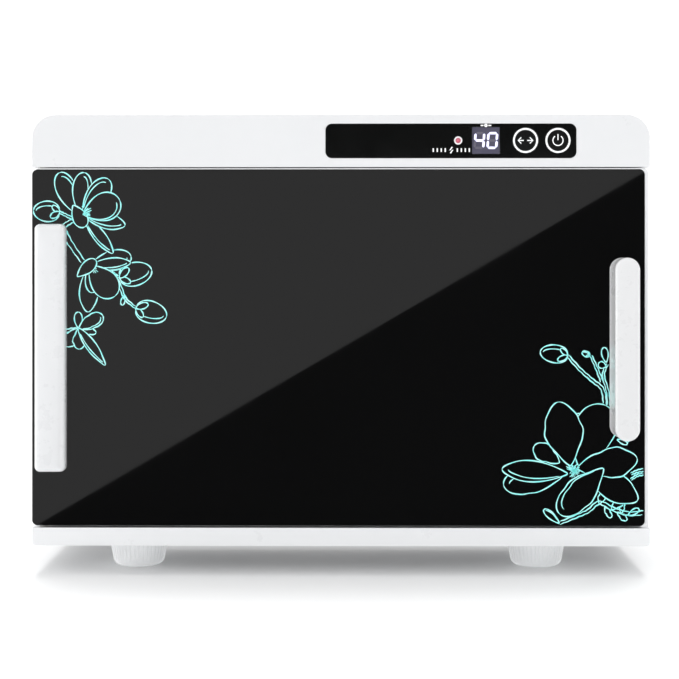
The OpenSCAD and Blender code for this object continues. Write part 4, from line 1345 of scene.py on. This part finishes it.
darkPlasticLook = {
    "light": (0.022, 0.022, 0.024), "deep": (0.032, 0.032, 0.034), "patchScale": 50,
    "worn": (0.12, 0.12, 0.12), "wear": 0.5, "dust": 0.1, "rough": (0.38, 0.52), "roughScale": 90,
    "grainScale": 1100, "grainDepth": 0.03 * mm,
}
nylonLook = {
    "light": (0.78, 0.75, 0.66), "deep": (0.72, 0.69, 0.60), "patchScale": 80,
    "worn": (0.85, 0.82, 0.74), "wear": 0.3, "rough": (0.42, 0.54),
    "grainScale": 1200, "grainDepth": 0.02 * mm,
}
ceramicLook = {**nylonLook, "light": (0.82, 0.82, 0.80), "deep": (0.77, 0.77, 0.75), "rough": (0.25, 0.35)}
darkPlastic = makeFinish("darkPlastic", darkPlasticLook)
dressNodes(darkPlastic, "power_inlet", "magnet_catch", "thermostat", "door_magnet")
dressNodes(makeFinish("nylon", nylonLook), "hinge_bushes")
dressNodes(makeFinish("whiteCeramic", ceramicLook),
    "uv_lamp_holders", "reed_switch", "uv_ballast", "thermal_fuse")
for nodeName, width in (("power_inlet", 0.5), ("magnet_catch", 0.5), ("uv_lamp_holders", 0.5),
        ("uv_ballast", 0.8), ("reed_switch", 0.4)):
    softenEdges(nodeName, width * mm, 2)


# ---- ultraviolet lamp ----

tubeLook = {
    "light": (0.80, 0.79, 0.88), "deep": (0.72, 0.72, 0.84), "patchScale": 30,
    "wear": 0.0, "dust": 0.03, "rough": (0.06, 0.12), "grainScale": 300, "grainDepth": 0.004 * mm,
    "shader": {"Emission Color": (0.62, 0.60, 1.0, 1), "Emission Strength": 0.15, "Coat Weight": 0.5},
}
dressNodes(makeFinish("lampGlass", tubeLook), "uv_lamp_tube")


# ---- insulation, heaters and electronics ----

woolLook = {
    "light": (0.74, 0.68, 0.48), "deep": (0.60, 0.52, 0.33), "patchScale": 90,
    "wear": 0.0, "dust": 0.0, "rough": (0.85, 0.95), "grainScale": 500, "stretch": (1, 0.25, 1),
    "grainDepth": 0.5 * mm, "shader": {"Sheen Weight": 0.3},
}
foamLook = {**woolLook, "light": (0.80, 0.76, 0.62), "deep": (0.74, 0.69, 0.54), "stretch": (1, 1, 1),
    "grainDepth": 0.2 * mm}
matLook = {
    "light": (0.62, 0.22, 0.05), "deep": (0.50, 0.16, 0.04), "patchScale": 70,
    "wear": 0.2, "rough": (0.42, 0.55), "grainScale": 700, "stretch": (1, 1, 0.1), "grainDepth": 0.08 * mm,
}
boardLook = {
    "light": (0.02, 0.16, 0.06), "deep": (0.035, 0.25, 0.10), "patchScale": 260,
    "worn": (0.5, 0.45, 0.25), "wear": 0.5, "rough": (0.25, 0.38), "grainScale": 420, "stretch": (1, 0.15, 1),
    "grainDepth": 0.03 * mm,
}
partsLook = {
    "light": (0.10, 0.12, 0.16), "deep": (0.42, 0.34, 0.10), "patchScale": 24,
    "wear": 0.3, "rough": (0.3, 0.5), "grainScale": 900, "grainDepth": 0.03 * mm,
}
leadLook = {
    "light": (0.35, 0.35, 0.36), "deep": (0.20, 0.20, 0.21), "patchScale": 60,
    "wear": 0.0, "rough": (0.45, 0.6), "grainScale": 800, "grainDepth": 0.03 * mm,
}
dressNodes(makeFinish("mineralWool", woolLook), "insulation_wrap", "insulation_back")
dressNodes(makeFinish("foamCore", foamLook), "door_core")
dressNodes(makeFinish("siliconeMat", matLook), "heater_mats")
dressNodes(makeFinish("circuitBoard", boardLook), "power_board", "control_board")
dressNodes(makeFinish("boardParts", partsLook), "power_board_parts", "control_board_parts")
dressNodes(makeFinish("leadSleeve", leadLook), "wiring_loom")
print("insides dressed")
